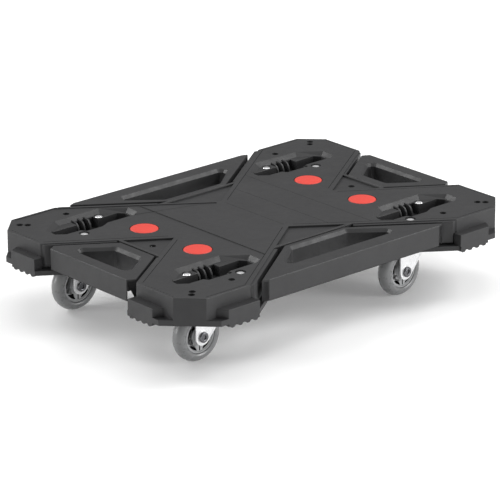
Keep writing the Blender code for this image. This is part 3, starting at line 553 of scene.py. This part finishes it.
def foot_meshes():
    strips = []
    teeth = []
    root = TOP - FLANGE_DEPTH + 1
    valley = TOP - TOOTH_VALLEY
    for sign_x, sign_y in CORNERS.values():
        for along_x, (start, end, _) in ((True, LONG_LEDGE), (False, SHORT_LEDGE)):
            strip = [(start, valley), (end, valley), (end - 1, root), (start + 1, root)]
            strips.append(standing(strip, along_x, sign_x, sign_y, GAP))
            pitch = (end - start - 1) / TEETH
            for k in range(TEETH):
                left = start + (k + 0.1) * pitch
                tooth = [(left, valley + 1), (left + 0.25 * pitch, TOP - TOOTH_TIP)]
                tooth += [(left + 0.55 * pitch, TOP - TOOTH_TIP), (left + 0.8 * pitch, valley + 1)]
                teeth.append(standing(tooth, along_x, sign_x, sign_y, 2 * GAP))
    return merged(strips), merged(teeth)


def arm_side_meshes():
    """Beside each grip, along the arm's edge: a lower rim, a shelf under the grip and its riser."""
    rims, shelves, risers = [], [], []
    sides = [(SHORT_APEX, HALF_LENGTH, SHORT_WALL[0], 9, SHORT_RIM_OUT, SHORT_PAD_EDGE, False)]
    sides.append((LONG_APEX, HALF_WIDTH, LONG_WALL[0], 4, LONG_RIM_OUT, LONG_PAD_EDGE, True))
    for apex, end_out, end_along, lead, rim_out, pad_edge, long_side in sides:
        end = Vector((end_out, end_along))
        inward = (Vector((apex, 0)) - end).normalized()
        aside = Vector((-inward.y, inward.x))
        tip = end + aside * SHELF_OUT - inward * lead
        foot = end + aside * SHELF_OUT + inward * SHELF_LENGTH
        beside = tip + Vector((0, 8))
        shelf = [tip, beside, beside - Vector((20, 0)), foot - aside * (SHELF_OUT + SHELF_FOOTING), foot]
        face = end - aside * GAP
        riser = [face + inward, face + inward * (SHELF_LENGTH - GAP)]
        riser += [point - aside * SHELF_FOOTING for point in reversed(riser)]
        last = end + inward * ((end_out - pad_edge) / -inward.x - 2)
        rim = [end + inward * 6 + aside * rim_out, last + aside * rim_out, last - aside, end + inward - aside]
        for sign_x, sign_y in CORNERS.values():
            for outline, solids, low, high in (
                    (rim, rims, SKIRT_DEPTH - GAP, ARM_RIM_TOP), (shelf, shelves, SHELF_DEPTH, SHELF_TOP),
                    (riser, risers, SHELF_DEPTH - 2 * GAP, SKIRT_DEPTH - 1.4)):
                points = quarter_turned(outline) if long_side else [tuple(point) for point in outline]
                solids.append(prism([turned(points, sign_x, sign_y)], TOP - low, TOP - high))
    return merged(rims), merged(shelves), merged(risers)


def corner_points(points, corner):
    """Recess points, listed round the swivel axis of a corner, in place."""
    pivot = JOINTS["swivel_turn_" + corner]["pos_m"]
    centre_x = pivot[0] / MM + RECESS_SHIFT[0]
    centre_y = pivot[1] / MM + RECESS_SHIFT[1]
    return [(centre_x + x, centre_y + y) for x, y in points]


def fastener_places():
    """Every caster fastener: node, kind, x, y and the top of its box."""
    places = []
    for corner in CORNERS:
        for kind in ("ledge_rivet", "top_rivet", "plate_screw_left", "plate_screw_right"):
            low, high = box_mm(f"{kind}_{corner}")
            middle = (low + high) / 2
            places.append((f"{kind}_{corner}", kind, middle.x, middle.y, high.z))
    return places


def deck_cavity():
    inside = offset_outline(deck_outline(), -WALL)
    cells = []
    for column in range(-6, 6):
        for row in range(-5, 5):
            low = (column * RIB_PITCH + RIB / 2, row * RIB_PITCH + RIB / 2, TOP - RIB_DEPTH - 4)
            high = ((column + 1) * RIB_PITCH - RIB / 2, (row + 1) * RIB_PITCH - RIB / 2, TOP - PLATE)
            cells.append(block(low, high))
    cavity = block((-1000, -1000, 0), (1000, 1000, TOP - RIB_DEPTH))
    cavity = carved(cavity, "UNION", merged(cells))
    cavity = carved(cavity, "INTERSECT", prism([inside], -10, TOP + 10))
    slots, floors, discs, bosses = [], [], [], []
    for corner in CORNERS:
        slot = offset_outline(turned(corner_points(SLOT_OUTLINE, corner)), POCKET_WALL)
        slots.append(prism([slot], TOP - SLOT_DEPTH - POCKET_WALL, TOP))
        floor = offset_outline(turned(corner_points(RECESS_RIM, corner)), POCKET_WALL)
        floors.append(prism([floor], TOP - RECESS_DEPTH - POCKET_WALL, TOP))
        low, high = box_mm("anti_slip_pad_" + corner)
        middle = (low + high) / 2
        radius = (high.x - low.x) / 2
        discs.append(prism([circle(middle.x, middle.y, radius + POCKET_WALL, 24)], TOP - 8, TOP))
    for _, _, x, y, _ in fastener_places():
        bosses.append(prism([circle(x, y, BOSS_RADIUS, 16)], TOP - RIB_DEPTH - 0.1, TOP))
    for group in (slots, floors, discs, bosses):
        cavity = carved(cavity, "DIFFERENCE", merged(group))
    return cavity


def fin_mesh(corner, position):
    """A curved blade that stands across the slot."""
    profile = [(across, TOP - depth) for across, depth in FIN_EDGE]
    profile.append((profile[0][0], profile[-1][1]))
    mesh = prism([profile], -FIN_THICKNESS / 2, FIN_THICKNESS / 2)
    origin = corner_points([(position, 0)], corner)[0]
    for vertex in mesh.vertices:
        y, z, x = vertex.co
        vertex.co = (origin[0] * MM + x, origin[1] * MM + y, z)
    weld(mesh)
    return mesh


def hook_mesh(half, short_side, sign, side, clearance):
    share = 0.3 if short_side else 0.2
    start, end = Vector(half[0]), Vector(half[1])
    along = (end - start).normalized()
    outward = Vector((-along.y, along.x))
    foot = start.lerp(end, share) - outward * (GRIP_WALL * 0.6 + clearance)
    reach = outward * (GRIP_WALL * 0.6 + 13 + 2 * clearance)
    half_width = along * (HOOK_SIZE[0] / 2 + clearance)
    ring = [foot - half_width, foot + half_width, foot + half_width + reach, foot - half_width + reach]
    ring = [(point.x, point.y * side) for point in ring]
    outline = turned(ring, sign, 1) if short_side else turned(quarter_turned(ring), 1, sign)
    half_height = HOOK_SIZE[1] / 2 + clearance
    return prism([outline], TOP - 22 - half_height, TOP - 22 + half_height)


def grip_sides():
    return [
        ("grip_front", SHORT_GRIP, SHORT_OPENING, True, 1),
        ("grip_rear", SHORT_GRIP, SHORT_OPENING, True, -1),
        ("grip_left", LONG_GRIP, LONG_OPENING, False, 1),
        ("grip_right", LONG_GRIP, LONG_OPENING, False, -1),
    ]


def deck_openings():
    """What is cut from the deck, in groups whose solids don't touch each other."""
    groups = {name: [] for name in ("pads", "recesses", "slots", "notches", "discs", "holes", "heads")}
    pad_x = SHORT_PAD_EDGE - PAD_RIM + PAD_STEP
    pad_y = LONG_PAD_EDGE - PAD_RIM + PAD_STEP
    short_pad = [(SHORT_APEX, 0), (pad_x, arm_edge_y(pad_x)), (pad_x, -arm_edge_y(pad_x))]
    long_pad = [(0, LONG_APEX), (arm_edge_x(pad_y), pad_y), (-arm_edge_x(pad_y), pad_y)]
    above = TOP + 1
    for sign in (1, -1):
        for pad in (turned(short_pad, sign, 1), turned(long_pad, 1, sign)):
            groups["pads"].append(prism([offset_outline(pad, -PAD_STEP)], TOP - PAD_DROP, above))
        groups["holes"].append(prism([circle(sign * PAD_HOLE[0], 0, SMALL_HOLE_RADIUS, 24)], 0, above))
    for corner, (sign_x, sign_y) in CORNERS.items():
        rim = corner_points(RECESS_RIM, corner)
        floor = corner_points(RECESS_FLOOR, corner)
        groups["recesses"].append(tapered(rim, floor, TOP - RECESS_DEPTH, TOP + 0.05))
        slot = corner_points(SLOT_OUTLINE, corner)
        groups["slots"].append(prism([slot], TOP - SLOT_DEPTH, TOP - RECESS_DEPTH / 2))
        notch = corner_points(NOTCH_RIM, corner)
        groups["notches"].append(prism([notch], TOP - NOTCH_DEPTH, above))
        low, high = box_mm("anti_slip_pad_" + corner)
        middle = (low + high) / 2
        radius = (high.x - low.x) / 2 + 0.7
        groups["discs"].append(prism([circle(middle.x, middle.y, radius, 72)], TOP - 3, above))
        for x, y in CORNER_HOLES + [SINGLE_HOLE]:
            ring = circle(sign_x * x, sign_y * y, SMALL_HOLE_RADIUS, 24)
            groups["holes"].append(prism([ring], TOP - 15, above))
    for _, kind, x, y, high in fastener_places():
        shank = circle(x, y, 3.6, 16)
        if kind.startswith("plate_screw"):
            groups["holes"].append(prism([shank], 0, high + GAP))
            continue
        room = 6.7 if kind == "ledge_rivet" else 7.6
        groups["holes"].append(prism([shank], 0, high - 1))
        groups["heads"].append(prism([circle(x, y, room, 40)], high - 2.9, high + 1.7))
    return groups


def groove_strips():
    """The fine grooves along the arms' edges and the long sides of the corner blocks."""
    strips = []
    for sign_x, sign_y in CORNERS.values():
        start = Vector((SHORT_APEX, 0))
        end = Vector((HALF_LENGTH, SHORT_WALL[0]))
        along = (end - start).normalized()
        inward = Vector((-along.y, along.x)) * GROOVE_INSET
        strips.append([(start + along * 8 + inward), (end - along * 5 + inward), sign_x, sign_y])
        start = Vector((0, LONG_APEX))
        end = Vector((LONG_WALL[0], HALF_WIDTH))
        along = (end - start).normalized()
        inward = Vector((along.y, -along.x)) * GROOVE_INSET
        reach = (HALF_WIDTH - 5 - (start + inward).y) / along.y
        bend = start + inward + along * reach
        strips.append([(start + along * 8 + inward), bend, sign_x, sign_y])
        strips.append([bend, Vector((LONG_WALL[1] - 4, HALF_WIDTH - 5)), sign_x, sign_y])
    solids = []
    for a, b, sign_x, sign_y in strips:
        outline = turned(ribbon(a, b, GROOVE_WIDTH), sign_x, sign_y)
        solids.append(prism([outline], TOP - GROOVE_DEPTH, TOP + 1))
    return solids


def grid_strips():
    """Very shallow lines, 50 mm apart, over the middle of the deck."""
    solids = [[], []]
    for k in range(-4, 5):
        x = k * RIB_PITCH
        reach = LONG_APEX + max(0, abs(x) / LONG_WALL[0] * (HALF_WIDTH - LONG_APEX)) - 9
        if abs(x) > 110:
            reach = min(reach, 90)
        low = 3 if abs(x) > SHORT_APEX else 0
        if abs(x) > SHORT_APEX:
            continue
        solids[0].append(prism([ribbon((x, -reach + low), (x, reach - low), GRID_WIDTH)], TOP - GRID_DEPTH, TOP + 1))
    for k in range(-1, 2):
        y = k * RIB_PITCH
        reach = SHORT_APEX + abs(y) / SHORT_WALL[0] * (HALF_LENGTH - SHORT_APEX) - 9
        if k:
            reach = 128
        solids[1].append(prism([ribbon((-reach, y), (reach, y), GRID_WIDTH)], TOP - GRID_DEPTH - 0.02, TOP + 1))
    return solids


def small_marks():
    """The short ticks along the corner blocks' short sides, and the step beside each recess."""
    solids = []
    for sign_x, sign_y in CORNERS.values():
        y = SHORT_WALL[0] + 12
        while y < SHORT_WALL[1] - 2:
            outline = turned(ribbon((HALF_LENGTH - 5.5, y), (HALF_LENGTH - 3.8, y), 0.9), sign_x, sign_y)
            solids.append(prism([outline], TOP - 0.5, TOP + 1))
            y += 6.2
    for corner, (sign_x, sign_y) in CORNERS.items():
        if sign_x != sign_y:
            continue
        for left in (-12.5, -4.7, 3.1):
            outline = corner_points([(left, -31), (left, -36), (left + 6, -34.5), (left + 6, -31)], corner)
            solids.append(prism([turned(outline)], TOP - 1.6, TOP + 1))
    return solids


def make_deck():
    mesh = prism([deck_outline()], TOP - SKIRT_DEPTH, TOP)
    flanges, ledges = [], []
    for sign_x, sign_y in CORNERS.values():
        flanges.append(prism([flange_outline(sign_x, sign_y)], TOP - FLANGE_DEPTH, TOP - FLANGE_TOP))
        for ledge in ledge_outlines(sign_x, sign_y):
            ledges.append(prism([ledge], TOP - LEDGE_FOOT, TOP - LEDGE_DEPTH))
    strips, teeth = foot_meshes()
    rims, shelves, risers = arm_side_meshes()
    for tool in (rims, merged(flanges), merged(ledges), strips, teeth, shelves, risers):
        mesh = carved(mesh, "UNION", tool)
    mesh = carved(mesh, "DIFFERENCE", deck_cavity())
    for group in deck_openings().values():
        mesh = carved(mesh, "DIFFERENCE", merged(group))
    fins = [fin_mesh(corner, position) for corner in CORNERS for position in FIN_POSITIONS]
    mesh = carved(mesh, "UNION", merged(fins))
    hooks = [hook_mesh(half, short_side, sign, side, GAP)
             for _, half, _, short_side, sign in grip_sides() for side in (1, -1)]
    mesh = carved(mesh, "DIFFERENCE", merged(hooks))
    inner = offset_outline(deck_outline(), -WALL + 0.5)

    def outside(edge):
        middle = (edge.verts[0].co + edge.verts[1].co) / 2 / MM
        if middle.z > TOP - RECESS_DEPTH - 0.3:
            return True
        return middle.z > TOP - FLANGE_TOP + 0.3 and not contains(inner, middle.x, middle.y)

    softened(mesh, EDGE_ROUND, 2, outside, shortest=1.4)
    weld(mesh, 0.0002)
    grooves = groove_strips()
    grid = grid_strips()
    for group in (grooves[0::3], grooves[1::3], grooves[2::3], grid[0], grid[1], small_marks()):
        mesh = carved(mesh, "DIFFERENCE", merged(group))
    return piece("deck_shell", mesh, DECK_BLACK, "deck", "deck_plastic", "deck_frame")


def contains(ring, x, y):
    inside = False
    for (ax, ay), (bx, by) in zip(ring, ring[1:] + ring[:1]):
        if (ay > y) != (by > y) and x < (bx - ax) * (y - ay) / (by - ay) + ax:
            inside = not inside
    return inside


# ---------------------------------------------------------------- grips


def grip_outline(half, short_side, sign):
    ring = list(half) + [(distance, -width) for distance, width in reversed(half)]
    return turned(ring, sign, 1) if short_side else turned(quarter_turned(ring), 1, sign)


def end_windows(half, short_side, sign, high):
    """What is cut from a grip's two ends, so that they are open under the top plate."""
    windows = []
    start, end = Vector(half[1]), Vector(half[2])
    along = (end - start).normalized()
    inward = Vector((along.y, -along.x))
    for side in (1, -1):
        ring = [start + along * END_WINDOW_INSET + inward * 6, end - along * END_WINDOW_INSET + inward * 6]
        ring += [point - inward * 8 for point in reversed(ring)]
        ring = [(point.x, point.y * side) for point in ring]
        outline = turned(ring, sign, 1) if short_side else turned(quarter_turned(ring), 1, sign)
        windows.append(prism([outline], 0, high - GRIP_PLATE + GAP))
    return merged(windows)


def make_grip(name, half, opening, short_side, sign):
    """A hollow bracket round a hand opening, with rounded edges and a chamfered rim."""
    high = box_mm(name)[1].z
    outline = grip_outline(half, short_side, sign)
    hole = rounded(grip_outline(opening, short_side, sign), OPENING_RADIUS)
    low = TOP - GRIP_DEPTH
    mesh = prism([outline, hole], low, high)
    inside = offset_outline(outline, -GRIP_WALL)
    around_hole = offset_outline(turned(hole), GRIP_WALL)
    mesh = carved(mesh, "DIFFERENCE", prism([inside, around_hole], low - 1, high - GRIP_PLATE))
    mesh = carved(mesh, "DIFFERENCE", end_windows(half, short_side, sign, high))
    for side in (1, -1):
        mesh = carved(mesh, "UNION", hook_mesh(half, short_side, sign, side, 0))
    ring = turned(hole)
    rim = offset_outline(ring, OPENING_CHAMFER)
    funnel = tapered(rim, offset_outline(ring, -0.02), high - OPENING_CHAMFER * 1.1, high + 0.02)
    mesh = carved(mesh, "DIFFERENCE", funnel)

    def outer(edge):
        middle = (edge.verts[0].co + edge.verts[1].co) / 2 / MM
        return middle.z > high - 0.3 or not contains(offset_outline(outline, -0.4), middle.x, middle.y)

    softened(mesh, 1.0, 3, outer, shortest=3)
    triangulated(mesh)
    return piece(name + "_shell", mesh, GRIP_BLACK, "deck", "grip_plastic", name)


# ---------------------------------------------------------------- pads, rivets and screws


def make_pad(corner):
    node = "anti_slip_pad_" + corner
    low, high = box_mm(node)
    middle = (low + high) / 2
    radius = (high.x - low.x) / 2
    crown = high.z - TOP
    profile = [(0, crown), (6, crown - 0.02), (12, crown - 0.1), (16, crown - 0.25), (18.2, crown - 0.5)]
    profile += [(19.2, crown - 0.95), (radius - 0.15, crown - 1.5), (radius, -1.2), (radius, -2.6), (0, -2.6)]
    place = Matrix.Translation(Vector((middle.x, middle.y, TOP)) * MM)
    piece("pad_" + corner, lathe(profile, 96), PAD_RED, "deck", "pad_rubber", node, smooth=50, place=place)


def make_fasteners():
    for node, kind, x, y, high in fastener_places():
        foot = box_mm(node)[0].z - high
        if "rivet" in kind:
            plate = foot + 2
            profile = [(0, 0), (2, -0.08), (3.6, -0.32), (4.9, -0.75), (5.7, -1.3), (6, -1.9), (6, -2.6)]
            profile += [(3, -2.6), (3, plate), (5, plate), (4.7, plate - 1.2), (4.2, foot + 0.1), (0, foot)]
        else:
            plate = foot + 2.8
            profile = [(0, 0), (2.1, 0), (3, -2), (3, plate), (5.5, plate), (5.4, plate - 1.2)]
            profile += [(4.6, plate - 2.2), (3.4, plate - 2.7), (3.2, foot), (1.9, foot), (1.9, foot + 1.4)]
            profile += [(0, foot + 1.4)]
        place = Matrix.Translation(Vector((x, y, high)) * MM)
        piece(node + "_head", lathe(profile, 48), STEEL, "deck", "bright_steel", node, smooth=40, place=place)


# ---------------------------------------------------------------- casters

PIVOT_HEIGHT = box_mm("top_plate_rear_left")[1].z
PLATE_SHEET = 3.2
RACE_HEIGHT = 6.4
RACE_RADIUS = 25
FORK_SHEET = 2.5
FORK_INSIDE = 12.6
FORK_ROUND = 12
FORK_TOP = PIVOT_HEIGHT - PLATE_SHEET - RACE_HEIGHT - 2 * GAP
WHEEL_RADIUS = box_mm("tyre_rear_left")[1].z / 2
TYRE_HALF_WIDTH = 10.8
HUB_RADIUS = 24.4
HUB_FACE = 9
AXLE_RADIUS = 4
KINGPIN_RADIUS = 5


def headings(corner):
    """The swivel's place and heading, and the axle's trail behind it."""
    swivel = JOINTS["swivel_turn_" + corner]["pos_m"]
    spin = JOINTS["wheel_spin_" + corner]
    yaw = math.atan2(-spin["axis"][0], spin["axis"][1])
    trail = math.hypot(spin["pos_m"][0] - swivel[0], spin["pos_m"][1] - swivel[1]) / MM
    place = Matrix.Translation((swivel[0], swivel[1], 0)) @ Matrix.Rotation(yaw, 4, "Z")
    return place, trail, spin["pos_m"][2] / MM


def make_top_plate(corner):
    node = "top_plate_" + corner
    low, high = box_mm(node)
    middle = (low + high) / 2
    corners = [(high.x, high.y), (low.x, high.y), (low.x, low.y), (high.x, low.y)]
    outlines = [rounded(corners, 9, 8), circle(middle.x, middle.y, KINGPIN_RADIUS + 0.6, 32)]
    for name, _, x, y, _ in fastener_places():
        if name.endswith(corner):
            outlines.append(circle(x, y, 3.6, 24))
    mesh = prism(outlines, low.z, high.z)
    softened(mesh, 0.5, 2, shortest=0.5, angle=50)
    piece(node + "_sheet", mesh, ZINC, "deck", "zinc", node)


def make_kingpin(corner, place):
    head = FORK_TOP - FORK_SHEET - GAP
    profile = [(0, PIVOT_HEIGHT), (4.4, PIVOT_HEIGHT), (KINGPIN_RADIUS, PIVOT_HEIGHT - 0.6), (KINGPIN_RADIUS, head)]
    profile += [(8.7, head), (9, head - 0.3), (9, head - 2.2), (8.2, head - 3.3), (6, head - 4.3), (0, head - 4.5)]
    piece("kingpin_stud_" + corner, lathe(profile, 48), STEEL, "deck", "bright_steel",
          "kingpin_" + corner, smooth=35, place=place)


def make_race(corner, place):
    top = PIVOT_HEIGHT - PLATE_SHEET - GAP
    bottom = top - RACE_HEIGHT
    profile = [(9, top), (19, top), (21.5, top - 0.3), (23.6, top - 1), (24.8, top - 2.1), (RACE_RADIUS, top - 2.8)]
    profile += [(24.2, top - 3.1), (24.2, top - 3.5), (RACE_RADIUS, top - 3.8), (24.9, top - 4.6)]
    profile += [(23.4, bottom + 0.7), (21, bottom), (9, bottom)]
    piece("race_cups_" + corner, lathe(profile, 72, closed=True), ZINC, "swivel_" + corner, "zinc",
          "swivel_race_" + corner, smooth=40, place=place)


def leg_outline(trail, axle_height, inset=0.0):
    """A fork leg from its side, as (forward, height)."""
    top = FORK_TOP - 1
    reach = FORK_ROUND - inset
    points = [(-trail - reach, top - inset)]
    for step in range(25):
        turn = math.radians(180 + 139 * step / 24)
        points.append((-trail + reach * math.cos(turn), axle_height + reach * math.sin(turn)))
    points.append((RACE_RADIUS - 2 - inset * 1.6, top - 2 - inset * 0.4))
    points.append((RACE_RADIUS - 2 - inset * 1.6, top - inset))
    return points


def on_side(mesh, side, start):
    """Stand a flat mesh up as a leg on one side of the wheel."""
    for vertex in mesh.vertices:
        forward, height, depth = vertex.co
        vertex.co = (forward, side * (start * MM + depth), height)
    weld(mesh)
    return mesh


def make_fork(corner, place, trail, axle_height):
    outside = FORK_INSIDE + FORK_SHEET
    crown = [(RACE_RADIUS * math.cos(a), RACE_RADIUS * math.sin(a))
             for a in (math.radians(-49 + 98 * k / 24) for k in range(25))]
    crown += [(-trail - FORK_ROUND, outside), (-trail - FORK_ROUND, -outside)]
    mesh = prism([crown, circle(0, 0, KINGPIN_RADIUS + 0.6, 32)], FORK_TOP - FORK_SHEET, FORK_TOP)
    axle_hole = circle(-trail, axle_height, AXLE_RADIUS + 0.6, 32)
    for side in (1, -1):
        leg = on_side(prism([leg_outline(trail, axle_height), axle_hole], 0, FORK_SHEET), side, FORK_INSIDE - 0.05)
        mesh = carved(mesh, "UNION", leg)
    for side in (1, -1):
        panel = prism([leg_outline(trail, axle_height, 2.6)], 0, 2)
        ring = prism([circle(-trail, axle_height, 9.4, 48)], -1, 3)
        panel = carved(panel, "DIFFERENCE", ring)
        panel = on_side(panel, side, outside - 0.55)
        mesh = carved(mesh, "DIFFERENCE", panel)
    softened(mesh, 0.45, 2, shortest=0.8, angle=40)
    return piece("fork_sheet_" + corner, mesh, ZINC, "swivel_" + corner, "zinc", "fork_" + corner, place=place)


def make_axle(corner, axle):
    outside = FORK_INSIDE + FORK_SHEET + GAP
    high = outside + 3
    profile = [(0, outside + 1.2), (3.1, outside + 1.2), (3.3, outside + 1.5), (3.4, high - 0.3), (3.8, high)]
    profile += [(6.2, high), (6.9, high - 0.25), (7.3, high - 0.9), (7.4, outside + 0.3), (7.2, outside)]
    profile += [(AXLE_RADIUS, outside), (AXLE_RADIUS, -outside - 6.4), (3.4, -outside - 7), (0, -outside - 7)]
    mesh = lathe(profile, 48)
    piece("bolt_" + corner, mesh, BOLT_PAINTED_DARK_REFLECTION, "swivel_" + corner, "bright_steel", "axle_bolt_" + corner,
          smooth=40, place=axle)
    nut = prism([circle(0, 0, 7.2, 6), circle(0, 0, AXLE_RADIUS + 0.6, 32)], -outside - 5.5, -outside)
    softened(nut, 0.5, 2, angle=35, shortest=2)
    piece("nut_" + corner, nut, STEEL, "swivel_" + corner, "bright_steel", "axle_nut_" + corner, place=axle)


def lens(middle, inner, outer, inner_spread, outer_spread, bulge):
    """A window's outline: an arc along the rim, and a flatter side bulging towards the boss."""
    outline = []
    for k in range(9):
        angle = math.radians(middle + outer_spread * (1 - k / 4))
        outline.append((outer * math.cos(angle), outer * math.sin(angle)))
    for k in range(7):
        share = k / 3 - 1
        angle = math.radians(middle + inner_spread * share)
        radius = inner + bulge * share * share
        outline.append((radius * math.cos(angle), radius * math.sin(angle)))
    return turned(rounded(turned(outline[:]), 0.4, 1))


def radial_slot(middle, inner, outer, width):
    angle = math.radians(middle)
    along = Vector((math.cos(angle), math.sin(angle)))
    return ribbon(along * inner, along * outer, width)


def make_wheel(corner, axle):
    bore = AXLE_RADIUS + 0.6
    end = FORK_INSIDE - GAP
    half = [(bore, end), (8.6, end), (9.2, end - 0.4), (10.6, HUB_FACE - 1.2), (14, HUB_FACE - 1.4)]
    half += [(22, HUB_FACE - 1.4), (22.3, HUB_FACE - 1), (22.5, HUB_FACE), (24, HUB_FACE)]
    half += [(HUB_RADIUS, HUB_FACE - 0.4)]
    profile = half + [(r, -z) for r, z in reversed(half)]
    mesh = lathe(profile, 80, closed=True)
    floor = HUB_FACE - 6.8
    windows, slots = [], []
    for k in range(5):
        window = lens(90 + 72 * k, 14, 21, 11, 24, 3.2)
        slot = radial_slot(54 + 72 * k, 13.8, 20.4, 1.7)
        for low, high in ((floor, HUB_FACE + 1), (-HUB_FACE - 1, -floor)):
            windows.append(prism([window], low, high))
        for low, high in ((HUB_FACE - 4, HUB_FACE + 1), (-HUB_FACE - 1, -HUB_FACE + 4)):
            slots.append(prism([slot], low, high))
    mesh = carved(mesh, "DIFFERENCE", merged(windows))
    mesh = carved(mesh, "DIFFERENCE", merged(slots))

    def rims(edge):
        middle = (edge.verts[0].co + edge.verts[1].co) / 2 / MM
        return abs(middle.z) > HUB_FACE - 1.8 and 13 < middle.xy.length < 21.6

    softened(mesh, 0.35, 2, rims, angle=50, shortest=0.3)
    piece("hub_" + corner, mesh, HUB_GREY, "wheel_" + corner, "hub_plastic", "wheel_hub_" + corner,
          smooth=32, place=axle)
    # painted shade: faces more than 2.2 mm below the hub's face, between the boss and the rim, get the near-black
    # material as the shade inside the windows
    mesh.materials.append(HUB_PAINTED_SHADE)
    for polygon in mesh.polygons:
        middle = polygon.center / MM
        if abs(middle.z) < HUB_FACE - 2.2 and 11 < middle.xy.length < HUB_RADIUS - 0.8:
            polygon.material_index = 1
    inner = HUB_RADIUS + GAP
    half = [(inner, 9.6), (inner + 0.4, 10), (27.6, 10.6), (28.6, TYRE_HALF_WIDTH), (29.6, 10.6), (30.4, 10.3)]
    half += [(32, 9.8), (33.6, 8.9), (35, 7.4), (36.1, 5.6), (36.9, 3.8), (37.3, 2.2), (WHEEL_RADIUS, 0.8)]
    profile = half + [(r, -z) for r, z in reversed(half)]
    piece("tyre_tread_" + corner, lathe(profile, 120, closed=True), TYRE_GREY, "wheel_" + corner,
          "tyre_rubber", "tyre_" + corner, smooth=45, place=axle)


def make_caster(corner):
    place, trail, axle_height = headings(corner)
    axle = place @ Matrix.Translation((-trail * MM, 0, axle_height * MM)) @ Matrix.Rotation(math.radians(90), 4, "X")
    make_top_plate(corner)
    make_kingpin(corner, place)
    make_race(corner, place)
    make_fork(corner, place, trail, axle_height)
    make_axle(corner, axle)
    make_wheel(corner, axle)


# ---------------------------------------------------------------- studio


def make_floor():
    shape = bmesh.new()
    bmesh.ops.create_grid(shape, x_segments=1, y_segments=1, size=30)
    mesh = bpy.data.meshes.new("floor")
    shape.to_mesh(mesh)
    shape.free()
    material, nodes, _ = new_material("floor_paint")
    shader = nodes["Principled BSDF"]
    shader.inputs["Base Color"].default_value = (0.86, 0.86, 0.86, 1)
    shader.inputs["Roughness"].default_value = 0.9
    shader.inputs["Specular IOR Level"].default_value = 0.1
    shader.inputs["Emission Color"].default_value = (1, 1, 1, 1)
    shader.inputs["Emission Strength"].default_value = 0.15
    mesh.materials.append(material)
    floor = bpy.data.objects.new("floor", mesh)
    bpy.context.scene.collection.objects.link(floor)
    floor.location.z = cad_box[0][2]


def add_area(name, place, aim, size, power):
    light = bpy.data.lights.new(name, "AREA")
    light.shape = "RECTANGLE"
    light.size, light.size_y = size
    light.energy = power
    obj = bpy.data.objects.new(name, light)
    bpy.context.scene.collection.objects.link(obj)
    obj.location = place
    obj.rotation_euler = (Vector(aim) - Vector(place)).to_track_quat("-Z", "Y").to_euler()


def make_lights():
    world = bpy.data.worlds.new("studio")
    bpy.context.scene.world = world
    world.use_nodes = True
    background = world.node_tree.nodes["Background"]
    background.inputs["Color"].default_value = (1, 1, 1, 1)
    background.inputs["Strength"].default_value = 0.4
    centre = (0, 0, 0.1)
    add_area("overhead", (0.3, 0.3, 3.4), centre, (3.0, 3.0), 40)
    add_area("back_left", (-1.3, 2.7, 2.4), centre, (1.5, 1.5), 75)
    add_area("back_right", (2.4, -1.3, 2.7), centre, (1.5, 1.5), 75)
    add_area("left_side", (-3.2, 1.9, 0.8), centre, (1.4, 1.2), 38)
    add_area("right_side", (1.9, -3.2, 0.8), centre, (1.4, 1.2), 66)


def make_camera():
    camera = bpy.data.objects.new("camera", bpy.data.cameras.new("camera"))
    bpy.context.scene.collection.objects.link(camera)
    azimuth = math.radians(-41.43)
    elevation = math.radians(20.13)
    distance = 4.563
    aim = Vector((-0.1036, -0.1075, TOP * MM))
    toward = Vector((-math.sin(azimuth) * math.cos(elevation), math.cos(azimuth) * math.cos(elevation),
                     -math.sin(elevation)))
    camera.location = aim - toward * distance
    turn = toward.to_track_quat("-Z", "Y").to_matrix().to_4x4()
    roll = Matrix.Rotation(math.radians(-0.26), 4, "Z")
    camera.matrix_world = Matrix.Translation(camera.location) @ turn @ roll
    camera.data.lens = 241.6
    camera.data.sensor_width = 36
    bpy.context.scene.camera = camera


make_deck()
for grip_side in grip_sides():
    make_grip(*grip_side)
for corner_name in CORNERS:
    make_pad(corner_name)
    make_caster(corner_name)
make_fasteners()
make_floor()
make_lights()
make_camera()
bpy.context.scene.view_settings.view_transform = "Standard"
